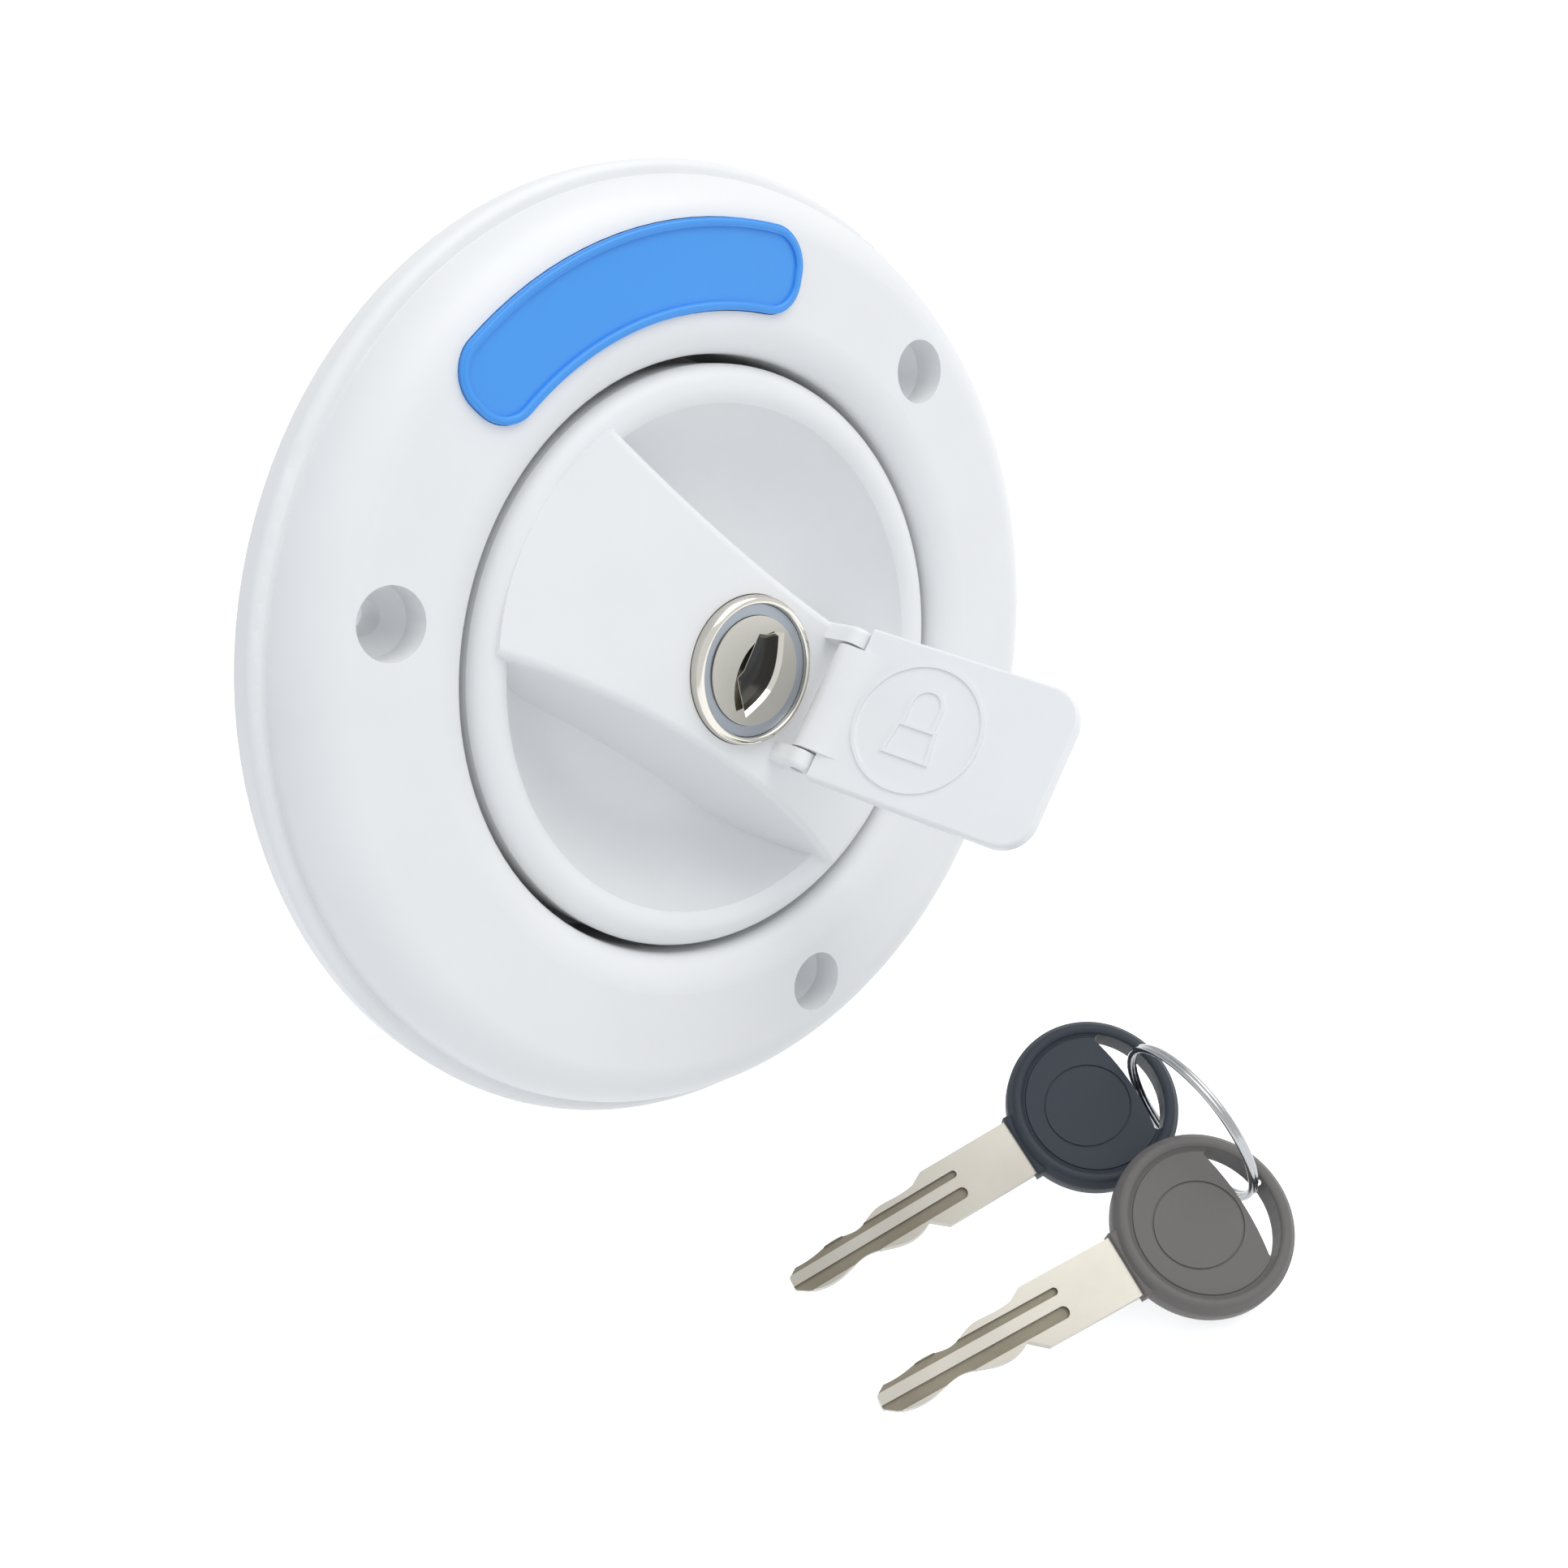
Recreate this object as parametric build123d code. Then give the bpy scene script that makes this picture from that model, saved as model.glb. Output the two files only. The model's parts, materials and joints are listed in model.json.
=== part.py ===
"""Lockable water filler inlet with its pair of keys, as separate pieces.

Every piece is drawn face up: the filler's axis is +Z, the wall is the plane Z = 0 and the label is
towards +Y. The finished model stands on a wall, so each piece is turned upright when it is written:
the label then points to +Z, the wall is the plane Y = 0 and the cap faces -Y. Sizes are millimetres.
"""

import math
import os

from build123d import *

# Clearances ---------------------------------------------------------------------------------------
RUN_GAP = 0.05  # a turning shaft in its bore, on the radius
GLUE_GAP = 0.1  # two bonded or pressed pieces, on the radius
LOOSE_GAP = 0.3  # curved faces that move past one another
SLOT_GAP = 0.25  # a sliding pin or bolt in its guide, each side

# Wall flange --------------------------------------------------------------------------------------
FLANGE_R = 65.0
FLANGE_RING_W = 25.4  # from the cap's edge to the flange's edge
FLANGE_T = 4.1
FLANGE_ROUND = 1.4
GASKET_INSET = 3.0
GASKET_W = 6.0
GASKET_T = 1.5
SCREW_INSET = 13.1
SCREW_ANGLES = (30.0, 150.0, 270.0)
SCREW_HOLE_R = 2.25
SCREW_HEAD_R = 4.45
SCREW_HEAD_DEPTH = 4.6
SCREW_CONE_DEPTH = 2.2

# Front trim ---------------------------------------------------------------------------------------
TRIM_STEP = 2.0
TRIM_FACE_Z = 11.3
TRIM_SHOULDER = 6.8
TRIM_WALL = 2.4
TRIM_BOSS_WALL = 2.3
LIP_CLEAR = 1.2
LIP_ROLL = 5.0
LIP_Z = 7.7

# Label --------------------------------------------------------------------------------------------
LABEL_IN_MARGIN = 0.4
LABEL_OUT_MARGIN = 5.6
LABEL_HALF_ANGLE = 30.5
LABEL_CORNER_MOST = 5.0
LABEL_T = 1.4
LABEL_PROUD = 0.25
LABEL_BEAD = 0.35
LABEL_BEAD_W = 1.1

# Neck ---------------------------------------------------------------------------------------------
WELL_CLEAR = 1.4
NECK_WALL = 3.0
SHELF_W = 5.0
BAYONET_LEDGE_W = 3.4
BAYONET_LEDGE_T = 4.0
NECK_DEPTH = 26.0

# Hose tail and vent -------------------------------------------------------------------------------
HOSE_R = 20.0
HOSE_WALL = 3.0
HOSE_LENGTH = 26.0
FUNNEL_LENGTH = 20.0
TAIL_WALL = 3.0
TAIL_SOCKET = 6.0
VENT_INSET = 7.6
VENT_R = 5.0
VENT_ROOT_R = 4.5
VENT_BORE_R = 3.2
VENT_LENGTH = 20.0
VENT_BOSS_R = 8.0
VENT_BOSS_END = 16.0
VENT_SOCKET = 7.0

# Cap ----------------------------------------------------------------------------------------------
GRIP_ANGLE = -52.0
CAP_EDGE_Z = 8.0
RIM_CREST_Z = 10.1
RIM_CREST_W = 2.6
RIM_INNER_W = 5.0
RIM_INNER_Z = 9.2
CAP_WALL = 2.4
WELL_FLOOR_Z = -2.0
WELL_WALL_W = 12.6
CAP_SKIRT_Z = -5.0
BAR_TOP_Z = 14.7
BAR_END_Z = 10.2
BAR_HALF_MID = 12.0
BAR_HALF_END = 15.2
BAR_DRAFT = 13.0
BAR_EDGE = 1.2
CAP_SCREW_CLEAR = 5.4
CAP_SCREW_Y = 5.5
CAP_SCREW_R = 1.5
CAP_BOSS_R = 3.2

# Cap core and seal --------------------------------------------------------------------------------
CORE_PLATE_T = 2.5
CORE_NECK_CLEAR = 0.6
CORE_CLEAR = 0.7
CORE_WALL = 2.5
CORE_DEPTH = 22.0
SEAL_T = 1.6
LUG_T = 3.0
LUG_SPAN = 22.0
LUG_SLOT_SPAN = 25.0
LUG_ANGLES = (0.0, 120.0, 240.0)
CAP_TURN = 38.0
COVER_T = 2.0
COVER_BOSS_R = 3.0
COVER_BOSS_GAP = 0.8
COVER_BOSS_ANGLES = (108.0, 222.0, 318.0)
COVER_SCREW_R = 1.1

# Lock ---------------------------------------------------------------------------------------------
BEZEL_W = 1.2
BEZEL_TOP_Z = 16.2
BARREL_HEAD_W = 0.9
BARREL_HEAD_Z = 15.4
BARREL_R = 8.0
SEAT_Z = 14.0
BARREL_WALL = 2.0
BARREL_RING_W = 1.5
PLUG_HEAD_T = 2.6
PLUG_TOP_Z = 15.7
LOCK_END_Z = -9.6
NUT_EXTRA = 2.0  # the nut's width across its flats, over the barrel's diameter
NUT_T = 3.0
KEYHOLE_LONG = 12.0
KEYHOLE_WIDE = 5.6
KEYHOLE_DEPTH = 2.2
CHANNEL_LONG = 6.6
CHANNEL_WIDE = 2.6
CHANNEL_END_Z = -6.5
WAFER_COUNT = 5
WAFER_PITCH = 3.0
WAFER_FIRST_Z = 7.2
WAFER_T = 1.0
WAFER_WIDE = 5.0
WAFER_LONG = 10.6
WAFER_TRAVEL = 0.7
WAFER_EAR = 1.5
SPRING_R = 0.45
SPRING_LENGTH = 2.4
SHUTTER_T = 0.6
SHUTTER_LONG = 6.2
SHUTTER_REACH = 3.5
SHUTTER_PIN_R = 0.4
SHUTTER_PIN_X = 2.1
SHUTTER_KNUCKLE_R = 0.85
SHUTTER_KNUCKLE_HALF = 2.17

# Cam and bolt -------------------------------------------------------------------------------------
TAIL_SIDE = 6.0
CAM_R = 15.0
CAM_T = 2.5
CAM_SCREW_R = 1.5
CAM_SCREW_HEAD_R = 4.0
CAM_SCREW_HEAD_T = 1.2
CAM_SCREW_SLOT = 0.6
BOLT_ANGLE = 61.0
BOLT_WIDE = 5.0
BOLT_T = 3.0
BOLT_INNER_R = 5.0
BOLT_TRAVEL = 4.0
BOLT_PIN_R = 1.5
BOLT_PIN_AT = 8.0
KEY_TURN = 90.0

# Dust flap ----------------------------------------------------------------------------------------
FLAP_T = 2.4
FLAP_HALF = 11.4
FLAP_REACH = 34.3
FLAP_CORNER = 4.8
FLAP_EDGE = 0.5
FLAP_CLEAR = 0.8
FLAP_LEAN = 20.0  # how far past upright the open flap stands
HINGE_X = 12.1
HINGE_SIDE = 2.1
HINGE_HALF = 10.7
HINGE_PIN_R = 1.0
HINGE_WALL = 1.0
EAR_WIDE = 2.6
EAR_ROOT = 2.0
EAR_EDGE = 0.7
SIGN_R = 9.2
SIGN_AT = 14.2
SIGN_LINE = 0.5
SIGN_RAISE = 0.25
SIGN_LOCK_W = 7.2
SIGN_LOCK_H = 4.8
SIGN_LOCK_TAPER = 82.0
SIGN_LOCK_DOWN = 2.1
SIGN_HOOP_R = 2.5
SIGN_HOOP_LEG = 2.9

# Keys ---------------------------------------------------------------------------------------------
BOW_R = 12.5
BOW_T = 6.0
BOW_RIM_W = 1.9
BOW_DISH = 0.8
BOW_SLOT_CHORD = 5.9
BADGE_ALONG = 6.5
BADGE_ACROSS = 6.0
BADGE_AHEAD = 1.0
BADGE_RAISE = 0.3
BLADE_T = 2.2
BLADE_SHOULDER_W = 8.6
BLADE_SHOULDER_END = 27.0
BLADE_TIP = 50.7
BLADE_TIP_W = 1.8
BLADE_TIP_ROUND = 0.5
BLADE_TANG = 5.0
BLADE_TANG_W = 6.0
RIGHT_BITS = ((28.9, 3.25), (32.4, 3.05), (35.4, 3.0), (38.8, 1.9), (42.3, 2.3), (45.8, 1.9), (49.2, 1.8))
LEFT_BITS = ((29.4, 2.35), (34.4, 3.1), (39.5, 1.85), (44.5, 2.7), (47.0, 2.6), (49.2, 1.9))
GROOVE_DEPTH = 0.6
GROOVE_START = 22.5
NARROW_GROOVE = (1.1, -1.6)  # width, and distance to the left of the blade's middle
WIDE_GROOVE = (1.7, 1.35)

# Key set: where it lies, apart from the filler ----------------------------------------------------
KEY_FACE = Vector(-0.253, 0.806, 0.536)
KEY_B_RIGHT = 13.7
KEY_B_DOWN = 83.6
KEY_B_OUT = 65.1
KEY_B_AIM = Vector(-0.932, -0.054, -0.358)
KEY_A_AHEAD = 2.3
KEY_A_BESIDE = 22.6
KEY_A_SPLAY = 4.5
SLOT_A_SIDE = 0.0
SLOT_B_SIDE = 0.0
RING_R = 12.4
RING_WIRE_R = 0.5
RING_COILS = 2

# Places that follow from the sizes above ----------------------------------------------------------
CAP_R = FLANGE_R - FLANGE_RING_W
SCREW_CIRCLE_R = FLANGE_R - SCREW_INSET
GASKET_R_OUT = FLANGE_R - GASKET_INSET
GASKET_R_IN = GASKET_R_OUT - GASKET_W
TRIM_R = FLANGE_R - TRIM_STEP
WELL_R = CAP_R + WELL_CLEAR
LIP_R = CAP_R + LIP_CLEAR
LIP_START_R = LIP_R + LIP_ROLL
LABEL_R_IN = LIP_START_R + LABEL_IN_MARGIN
LABEL_R_OUT = TRIM_R - LABEL_OUT_MARGIN
LABEL_CORNER = min(LABEL_CORNER_MOST, 0.45 * (LABEL_R_OUT - LABEL_R_IN))
BORE_R = WELL_R - SHELF_W
BAYONET_LEDGE_R = BORE_R - BAYONET_LEDGE_W
RIM_CREST_R = CAP_R - RIM_CREST_W
RIM_INNER_R = CAP_R - RIM_INNER_W
WELL_FLOOR_R = RIM_INNER_R - WELL_WALL_W
CORE_NECK_R = BORE_R - CORE_NECK_CLEAR
CORE_R = BAYONET_LEDGE_R - CORE_CLEAR
CAP_SCREW_X = CORE_R - CORE_WALL - CAP_SCREW_CLEAR
COVER_BOSS_AT = CORE_R - CORE_WALL - COVER_BOSS_R - COVER_BOSS_GAP
CORE_TOP_Z = CAP_SKIRT_Z
CORE_PLATE_Z = CORE_TOP_Z - CORE_PLATE_T
SHELF_Z = CORE_PLATE_Z - SEAL_T
LEDGE_TOP_Z = SHELF_Z - BAYONET_LEDGE_T
LEDGE_END_Z = LEDGE_TOP_Z - BAYONET_LEDGE_T
CORE_END_Z = -CORE_DEPTH
NECK_END_Z = -NECK_DEPTH
HOSE_BORE_R = HOSE_R - HOSE_WALL
BARREL_HEAD_R = BARREL_R + BARREL_HEAD_W
BEZEL_R = BARREL_HEAD_R + BEZEL_W
PLUG_R = BARREL_R - BARREL_WALL
PLUG_HEAD_R = BARREL_HEAD_R - BARREL_RING_W
NUT_FLATS = 2 * BARREL_R + NUT_EXTRA
WELL_OUT_R = WELL_R + NECK_WALL
NECK_OUT_R = BORE_R + NECK_WALL
VENT_OFFSET = NECK_OUT_R - VENT_INSET
FUNNEL_END_Z = NECK_END_Z - FUNNEL_LENGTH
HOSE_END_Z = FUNNEL_END_Z - HOSE_LENGTH
COVER_TOP_Z = CORE_END_Z + COVER_T
BOLT_TOP_Z = LEDGE_TOP_Z - SLOT_GAP
BOLT_END_Z = BOLT_TOP_Z - BOLT_T
BOLT_OUTER_R = CORE_R - SLOT_GAP
CAM_TOP_Z = LOCK_END_Z - LOOSE_GAP
CAM_END_Z = CAM_TOP_Z - CAM_T
CAM_SCREW_HEAD_Z = CAM_END_Z - CAM_SCREW_HEAD_T
CROWN_R = ((RIM_CREST_R**2) + (BAR_TOP_Z - BAR_END_Z) ** 2) / (2 * (BAR_TOP_Z - BAR_END_Z))
BAR_CEILING_Z = SEAT_Z - CAP_WALL
HINGE_Z = BEZEL_TOP_Z + FLAP_CLEAR + FLAP_T / 2
KNUCKLE_R = HINGE_PIN_R + HINGE_WALL
EAR_R = KNUCKLE_R + LOOSE_GAP / 2
KNUCKLE_HALF = HINGE_HALF - EAR_WIDE - LOOSE_GAP
PLUG_HEAD_Z = PLUG_TOP_Z - PLUG_HEAD_T
KEYHOLE_FLOOR_Z = PLUG_TOP_Z - KEYHOLE_DEPTH
SHUTTER_PIN_Z = KEYHOLE_FLOOR_Z - SHUTTER_KNUCKLE_R - RUN_GAP
SHUTTER_ROOM_Z = SHUTTER_PIN_Z - SHUTTER_REACH - 2 * LOOSE_GAP
CAP_FRAME = Rot(0, 0, GRIP_ANGLE)
CORE_BOLT_FRAME = CAP_FRAME * Rot(0, 0, BOLT_ANGLE)
UPRIGHT = Rot(90, 0, 0)


# Small helpers ------------------------------------------------------------------------------------
def spin(points):
    """Turn a closed outline of (radius, height) points about the axis."""
    outline = Polyline(*[(r, 0, z) for r, z in points], close=True)
    return revolve(make_face(outline), Axis.Z)


def spin_edges(*edges):
    """Turn a closed chain of edges in the XZ plane about the axis."""
    return revolve(make_face(Wire(list(edges))), Axis.Z)


def edge(start, end):
    """Straight edge between two (radius, height) points."""
    return Line((start[0], 0, start[1]), (end[0], 0, end[1])).edge()


def arc(start, middle, end):
    """Arc through three (radius, height) points."""
    return ThreePointArc(*[(r, 0, z) for r, z in (start, middle, end)]).edge()


def rod(radius, low, high):
    """Upright cylinder between two heights."""
    return Pos(0, 0, (low + high) / 2) * Cylinder(radius, high - low)


def tube(outer, inner, low, high):
    """Upright tube between two heights."""
    return rod(outer, low, high) - rod(inner, low, high)


def block(x, y, z):
    """Box from three (low, high) ranges."""
    size = [high - low for low, high in (x, y, z)]
    middle = [(low + high) / 2 for low, high in (x, y, z)]
    return Pos(*middle) * Box(*size)


def polar(radius, angle):
    """Place at a radius and an angle in degrees about the axis."""
    return Rot(0, 0, angle) * Pos(radius, 0, 0)


def sector(inner, outer, span, low, high):
    """Ring segment centred on +X, with a span in degrees."""
    half = math.radians(span / 2)
    reach = 2 * outer
    corners = [(0, 0), (reach * math.cos(half), -reach * math.sin(half))]
    corners.append((reach * math.cos(half), reach * math.sin(half)))
    wedge = Pos(0, 0, low) * extrude(make_face(Polyline(*corners, close=True)), high - low)
    return tube(outer, inner, low, high) & wedge


def crown_z(x):
    """Height of the grip bar's crowned top at a distance along the bar."""
    return BAR_TOP_Z - CROWN_R + math.sqrt(CROWN_R**2 - x**2)


# Housing ------------------------------------------------------------------------------------------
def screw_places():
    """Places of the three wall screws."""
    return [polar(SCREW_CIRCLE_R, angle) for angle in SCREW_ANGLES]


def make_filler_base():
    """Wall flange with the cap's well, the neck and the bayonet ledge."""
    base = spin(
        [
            (WELL_R, FLANGE_T),
            (FLANGE_R, FLANGE_T),
            (FLANGE_R, 0),
            (WELL_OUT_R, 0),
            (WELL_OUT_R, SHELF_Z - NECK_WALL),
            (NECK_OUT_R, SHELF_Z - NECK_WALL),
            (NECK_OUT_R, NECK_END_Z),
            (BORE_R, NECK_END_Z),
            (BORE_R, SHELF_Z),
            (WELL_R, SHELF_Z),
        ]
    )
    outer_edge = base.edges().filter_by(GeomType.CIRCLE).sort_by(lambda e: (e.radius, e.center().Z))
    base = fillet(outer_edge[-1], FLANGE_ROUND)
    base += tube(BORE_R + GLUE_GAP, BAYONET_LEDGE_R, LEDGE_END_Z, LEDGE_TOP_Z)
    for angle in LUG_ANGLES:
        slot = sector(BAYONET_LEDGE_R - 1, BORE_R, LUG_SLOT_SPAN, LEDGE_END_Z, LEDGE_TOP_Z)
        base -= CAP_FRAME * Rot(0, 0, angle) * slot
    half = BOLT_WIDE / 2 + SLOT_GAP
    notch = block((BAYONET_LEDGE_R - 1, BORE_R), (-half, half), (LEDGE_END_Z, LEDGE_TOP_Z))
    for turn in (0, -CAP_TURN):
        base -= CORE_BOLT_FRAME * Rot(0, 0, turn) * notch
    base -= tube(GASKET_R_OUT, GASKET_R_IN, 0, GASKET_T)
    for place in screw_places():
        base += place * rod(SCREW_HEAD_R, 0, FLANGE_T)
        base -= place * rod(SCREW_HOLE_R, 0, FLANGE_T)
    return base


def make_wall_gasket():
    """Foam ring in the back of the flange, notched round the screw bosses."""
    gasket = tube(GASKET_R_OUT, GASKET_R_IN, 0, GASKET_T)
    for place in screw_places():
        gasket -= place * rod(SCREW_HEAD_R, 0, GASKET_T)
    return gasket


def trim_skin(inset):
    """Filled front ring, inset by a wall from its outer faces."""
    foot_r = TRIM_R - inset
    top_z = TRIM_FACE_Z - inset
    flat_r = TRIM_R - TRIM_SHOULDER
    lip_r = LIP_R + inset
    lip_z = LIP_Z - inset
    shoulder = EllipticalCenterArc(
        (flat_r, FLANGE_T, 0), foot_r - flat_r, top_z - FLANGE_T, start_angle=0, arc_size=90
    ).edge()
    roll = EllipticalCenterArc(
        (LIP_START_R, lip_z, 0), LIP_START_R - lip_r, top_z - lip_z, start_angle=90, arc_size=90
    ).edge()
    top = Line((flat_r, top_z), (LIP_START_R, top_z)).edge()
    inner = Line((lip_r, lip_z), (lip_r, FLANGE_T)).edge()
    foot = Line((lip_r, FLANGE_T), (foot_r, FLANGE_T)).edge()
    face = make_face(Wire([shoulder, top, roll, inner, foot]))
    return revolve(Rot(90, 0, 0) * face, Axis.Z)


def label_outline(inset):
    """Flat face of the arc-shaped label, inset from its edge."""
    blank = sector(
        LABEL_R_IN + inset,
        LABEL_R_OUT - inset,
        2 * (LABEL_HALF_ANGLE - math.degrees(inset / LABEL_R_OUT)),
        0,
        1,
    )
    rounded = fillet(blank.edges().filter_by(Axis.Z), LABEL_CORNER - inset)
    return Rot(0, 0, 90) * Pos(0, 0, -1) * rounded.faces().sort_by(Axis.Z)[-1]


def make_front_trim():
    """Domed front ring with its screw bosses and the label's recess."""
    trim = trim_skin(0) - trim_skin(TRIM_WALL)
    boss_r = SCREW_HEAD_R + TRIM_BOSS_WALL
    for place in screw_places():
        trim += place * rod(boss_r, FLANGE_T, TRIM_FACE_Z - TRIM_WALL / 2) & trim_skin(0)
    for place in screw_places():
        head_z = TRIM_FACE_Z - SCREW_HEAD_DEPTH
        cone = Cone(SCREW_HOLE_R, SCREW_HEAD_R, SCREW_CONE_DEPTH)
        trim -= place * rod(SCREW_HEAD_R, head_z, TRIM_FACE_Z)
        trim -= place * Pos(0, 0, head_z - SCREW_CONE_DEPTH / 2) * cone
        trim -= place * rod(SCREW_HOLE_R, FLANGE_T, head_z)
    pocket_z = TRIM_FACE_Z + LABEL_PROUD - LABEL_T
    pocket = extrude(label_outline(-GLUE_GAP), LABEL_T)
    return trim - Pos(0, 0, pocket_z) * pocket


def make_label_insert():
    """Arc-shaped label with a raised bead round its flat field."""
    plate_z = TRIM_FACE_Z + LABEL_PROUD - LABEL_T
    outline = label_outline(0)
    field = label_outline(LABEL_BEAD_W)
    plate = Pos(0, 0, plate_z) * extrude(outline, LABEL_T)
    bead = Pos(0, 0, plate_z + LABEL_T) * (extrude(outline, LABEL_BEAD) - extrude(field, LABEL_BEAD))
    return plate + bead


def make_hose_tail():
    """Funnel from the neck to the hose spigot, with a boss for the vent."""
    socket_r = NECK_OUT_R + GLUE_GAP
    outer_r = socket_r + TAIL_WALL
    shoulder_z = NECK_END_Z - TAIL_WALL
    inner_top = (BORE_R, NECK_END_Z)
    inner_end = (HOSE_BORE_R, FUNNEL_END_Z)
    body = spin(
        [
            (socket_r, NECK_END_Z + TAIL_SOCKET),
            (outer_r, NECK_END_Z + TAIL_SOCKET),
            (outer_r, shoulder_z),
            (HOSE_R, FUNNEL_END_Z),
            (HOSE_R, HOSE_END_Z + 1),
            (HOSE_R - 1, HOSE_END_Z),
            (HOSE_BORE_R, HOSE_END_Z),
            inner_end,
            inner_top,
            (socket_r, NECK_END_Z),
        ]
    )
    hollow = spin([(0, NECK_END_Z), inner_top, inner_end, (0, FUNNEL_END_Z)])
    vent = Pos(0, VENT_OFFSET, 0)
    boss_end_z = NECK_END_Z - VENT_BOSS_END
    body += vent * rod(VENT_BOSS_R, boss_end_z, NECK_END_Z) - hollow
    body -= vent * rod(VENT_ROOT_R + GLUE_GAP, boss_end_z, boss_end_z + VENT_SOCKET)
    return body - vent * rod(VENT_BORE_R, boss_end_z, NECK_END_Z)


def make_vent_nipple():
    """Small spigot for the air vent's hose, with a thinner root in the boss."""
    seat_z = NECK_END_Z - VENT_BOSS_END
    root_z = seat_z + VENT_SOCKET
    tip_z = seat_z - VENT_LENGTH
    nipple = rod(VENT_R, tip_z, seat_z)
    nipple = chamfer(nipple.edges().sort_by(Axis.Z)[0], VENT_R / 8)
    nipple += rod(VENT_ROOT_R, seat_z, root_z)
    return Pos(0, VENT_OFFSET, 0) * (nipple - rod(VENT_BORE_R, tip_z, root_z))


# Cap ----------------------------------------------------------------------------------------------
def bar_solid(inset, low, top):
    """Waisted grip bar between two heights, drafted outwards as it goes down."""
    reach = RIM_CREST_R
    mid = BAR_HALF_MID - inset
    end = BAR_HALF_END - inset
    upper = ThreePointArc((-reach, end), (0, mid), (reach, end)).edge()
    lower = ThreePointArc((reach, -end), (0, -mid), (-reach, -end)).edge()
    right = Line((reach, end), (reach, -end)).edge()
    left = Line((-reach, -end), (-reach, end)).edge()
    plan = Pos(0, 0, top) * make_face(Wire([upper, right, lower, left]))
    return extrude(plan, amount=-(top - low), taper=-BAR_DRAFT)


def crown_drum(drop):
    """Large drum whose top is the bar's crown, lowered by a drop."""
    length = 4 * BAR_HALF_END
    return Pos(0, 0, BAR_TOP_Z - CROWN_R - drop) * Rot(90, 0, 0) * Cylinder(CROWN_R, length)


def cap_bowl():
    """Rim, bowl and skirt of the cap, without the grip bar."""
    floor_start = (0, WELL_FLOOR_Z)
    floor_end = (WELL_FLOOR_R, WELL_FLOOR_Z)
    rim_in = (RIM_INNER_R, RIM_INNER_Z)
    rim_top = (RIM_CREST_R, RIM_CREST_Z)
    rim_out = (CAP_R, CAP_EDGE_Z)
    wall = Spline(
        (floor_end[0], 0, floor_end[1]),
        (rim_in[0], 0, rim_in[1]),
        tangents=[(1, 0, 0), (0.1, 0, 1)],
        tangent_scalars=[1.0, 0.8],
    ).edge()
    inner_r = CAP_R - CAP_WALL
    under_z = WELL_FLOOR_Z - CAP_WALL
    return spin_edges(
        edge(floor_start, floor_end),
        wall,
        arc(rim_in, rim_top, rim_out),
        edge(rim_out, (CAP_R, CAP_SKIRT_Z)),
        edge((CAP_R, CAP_SKIRT_Z), (inner_r, CAP_SKIRT_Z)),
        edge((inner_r, CAP_SKIRT_Z), (inner_r, WELL_FLOOR_Z + CAP_WALL)),
        edge((inner_r, WELL_FLOOR_Z + CAP_WALL), (WELL_FLOOR_R + CAP_WALL, under_z)),
        edge((WELL_FLOOR_R + CAP_WALL, under_z), (0, under_z)),
        edge((0, under_z), floor_start),
    )


def flap_ears():
    """Two hinge ears on the bar, beside the lock."""
    foot_z = crown_z(HINGE_X) - EAR_ROOT
    outline = Circle(EAR_R) + Pos(0, (foot_z - HINGE_Z) / 2) * Rectangle(2 * EAR_R, HINGE_Z - foot_z)
    ear = extrude(outline, EAR_WIDE)
    outer = fillet(ear.edges().group_by(Axis.Z)[0], EAR_EDGE)
    ears = Pos(HINGE_X, HINGE_SIDE + HINGE_HALF, HINGE_Z) * Rot(90, 0, 0) * outer
    return ears + Pos(HINGE_X, HINGE_SIDE - HINGE_HALF, HINGE_Z) * Rot(0, 0, 180) * Rot(90, 0, 0) * outer


def make_cap_shell():
    """Visible cap: rim, two finger wells, crowned grip bar and the flap's ears."""
    ceiling = BAR_TOP_Z - BAR_CEILING_Z
    top = BAR_TOP_Z + 1
    bar = bar_solid(0, WELL_FLOOR_Z - CAP_WALL / 2, top) & crown_drum(0)
    long_edges = bar.edges().filter_by(lambda e: e.length > 2 * RIM_CREST_R)
    bar = fillet(long_edges.filter_by(lambda e: e.center().Z > SEAT_Z), BAR_EDGE)
    bar &= rod(RIM_CREST_R, CAP_SKIRT_Z, top)
    hollow = bar_solid(CAP_WALL, CAP_SKIRT_Z, top) & rod(RIM_INNER_R, CAP_SKIRT_Z, top)
    shell = cap_bowl() + bar
    shell -= hollow & crown_drum(ceiling)
    for x in (-CAP_SCREW_X, CAP_SCREW_X):
        for y in (-CAP_SCREW_Y, CAP_SCREW_Y):
            boss_top = crown_z(CAP_SCREW_X) - CAP_WALL
            shell += Pos(x, y, 0) * rod(CAP_BOSS_R, CAP_SKIRT_Z, boss_top)
            shell -= Pos(x, y, 0) * rod(CAP_SCREW_R, CAP_SKIRT_Z, boss_top - CAP_WALL)
    shell -= rod(BARREL_R + GLUE_GAP, CAP_SKIRT_Z, top)
    shell -= rod(BEZEL_R + GLUE_GAP, SEAT_Z, top)
    shell += flap_ears()
    pin_hole = Cylinder(HINGE_PIN_R, 4 * HINGE_HALF)
    shell -= Pos(HINGE_X, HINGE_SIDE, HINGE_Z) * Rot(90, 0, 0) * pin_hole
    return CAP_FRAME * shell


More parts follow.
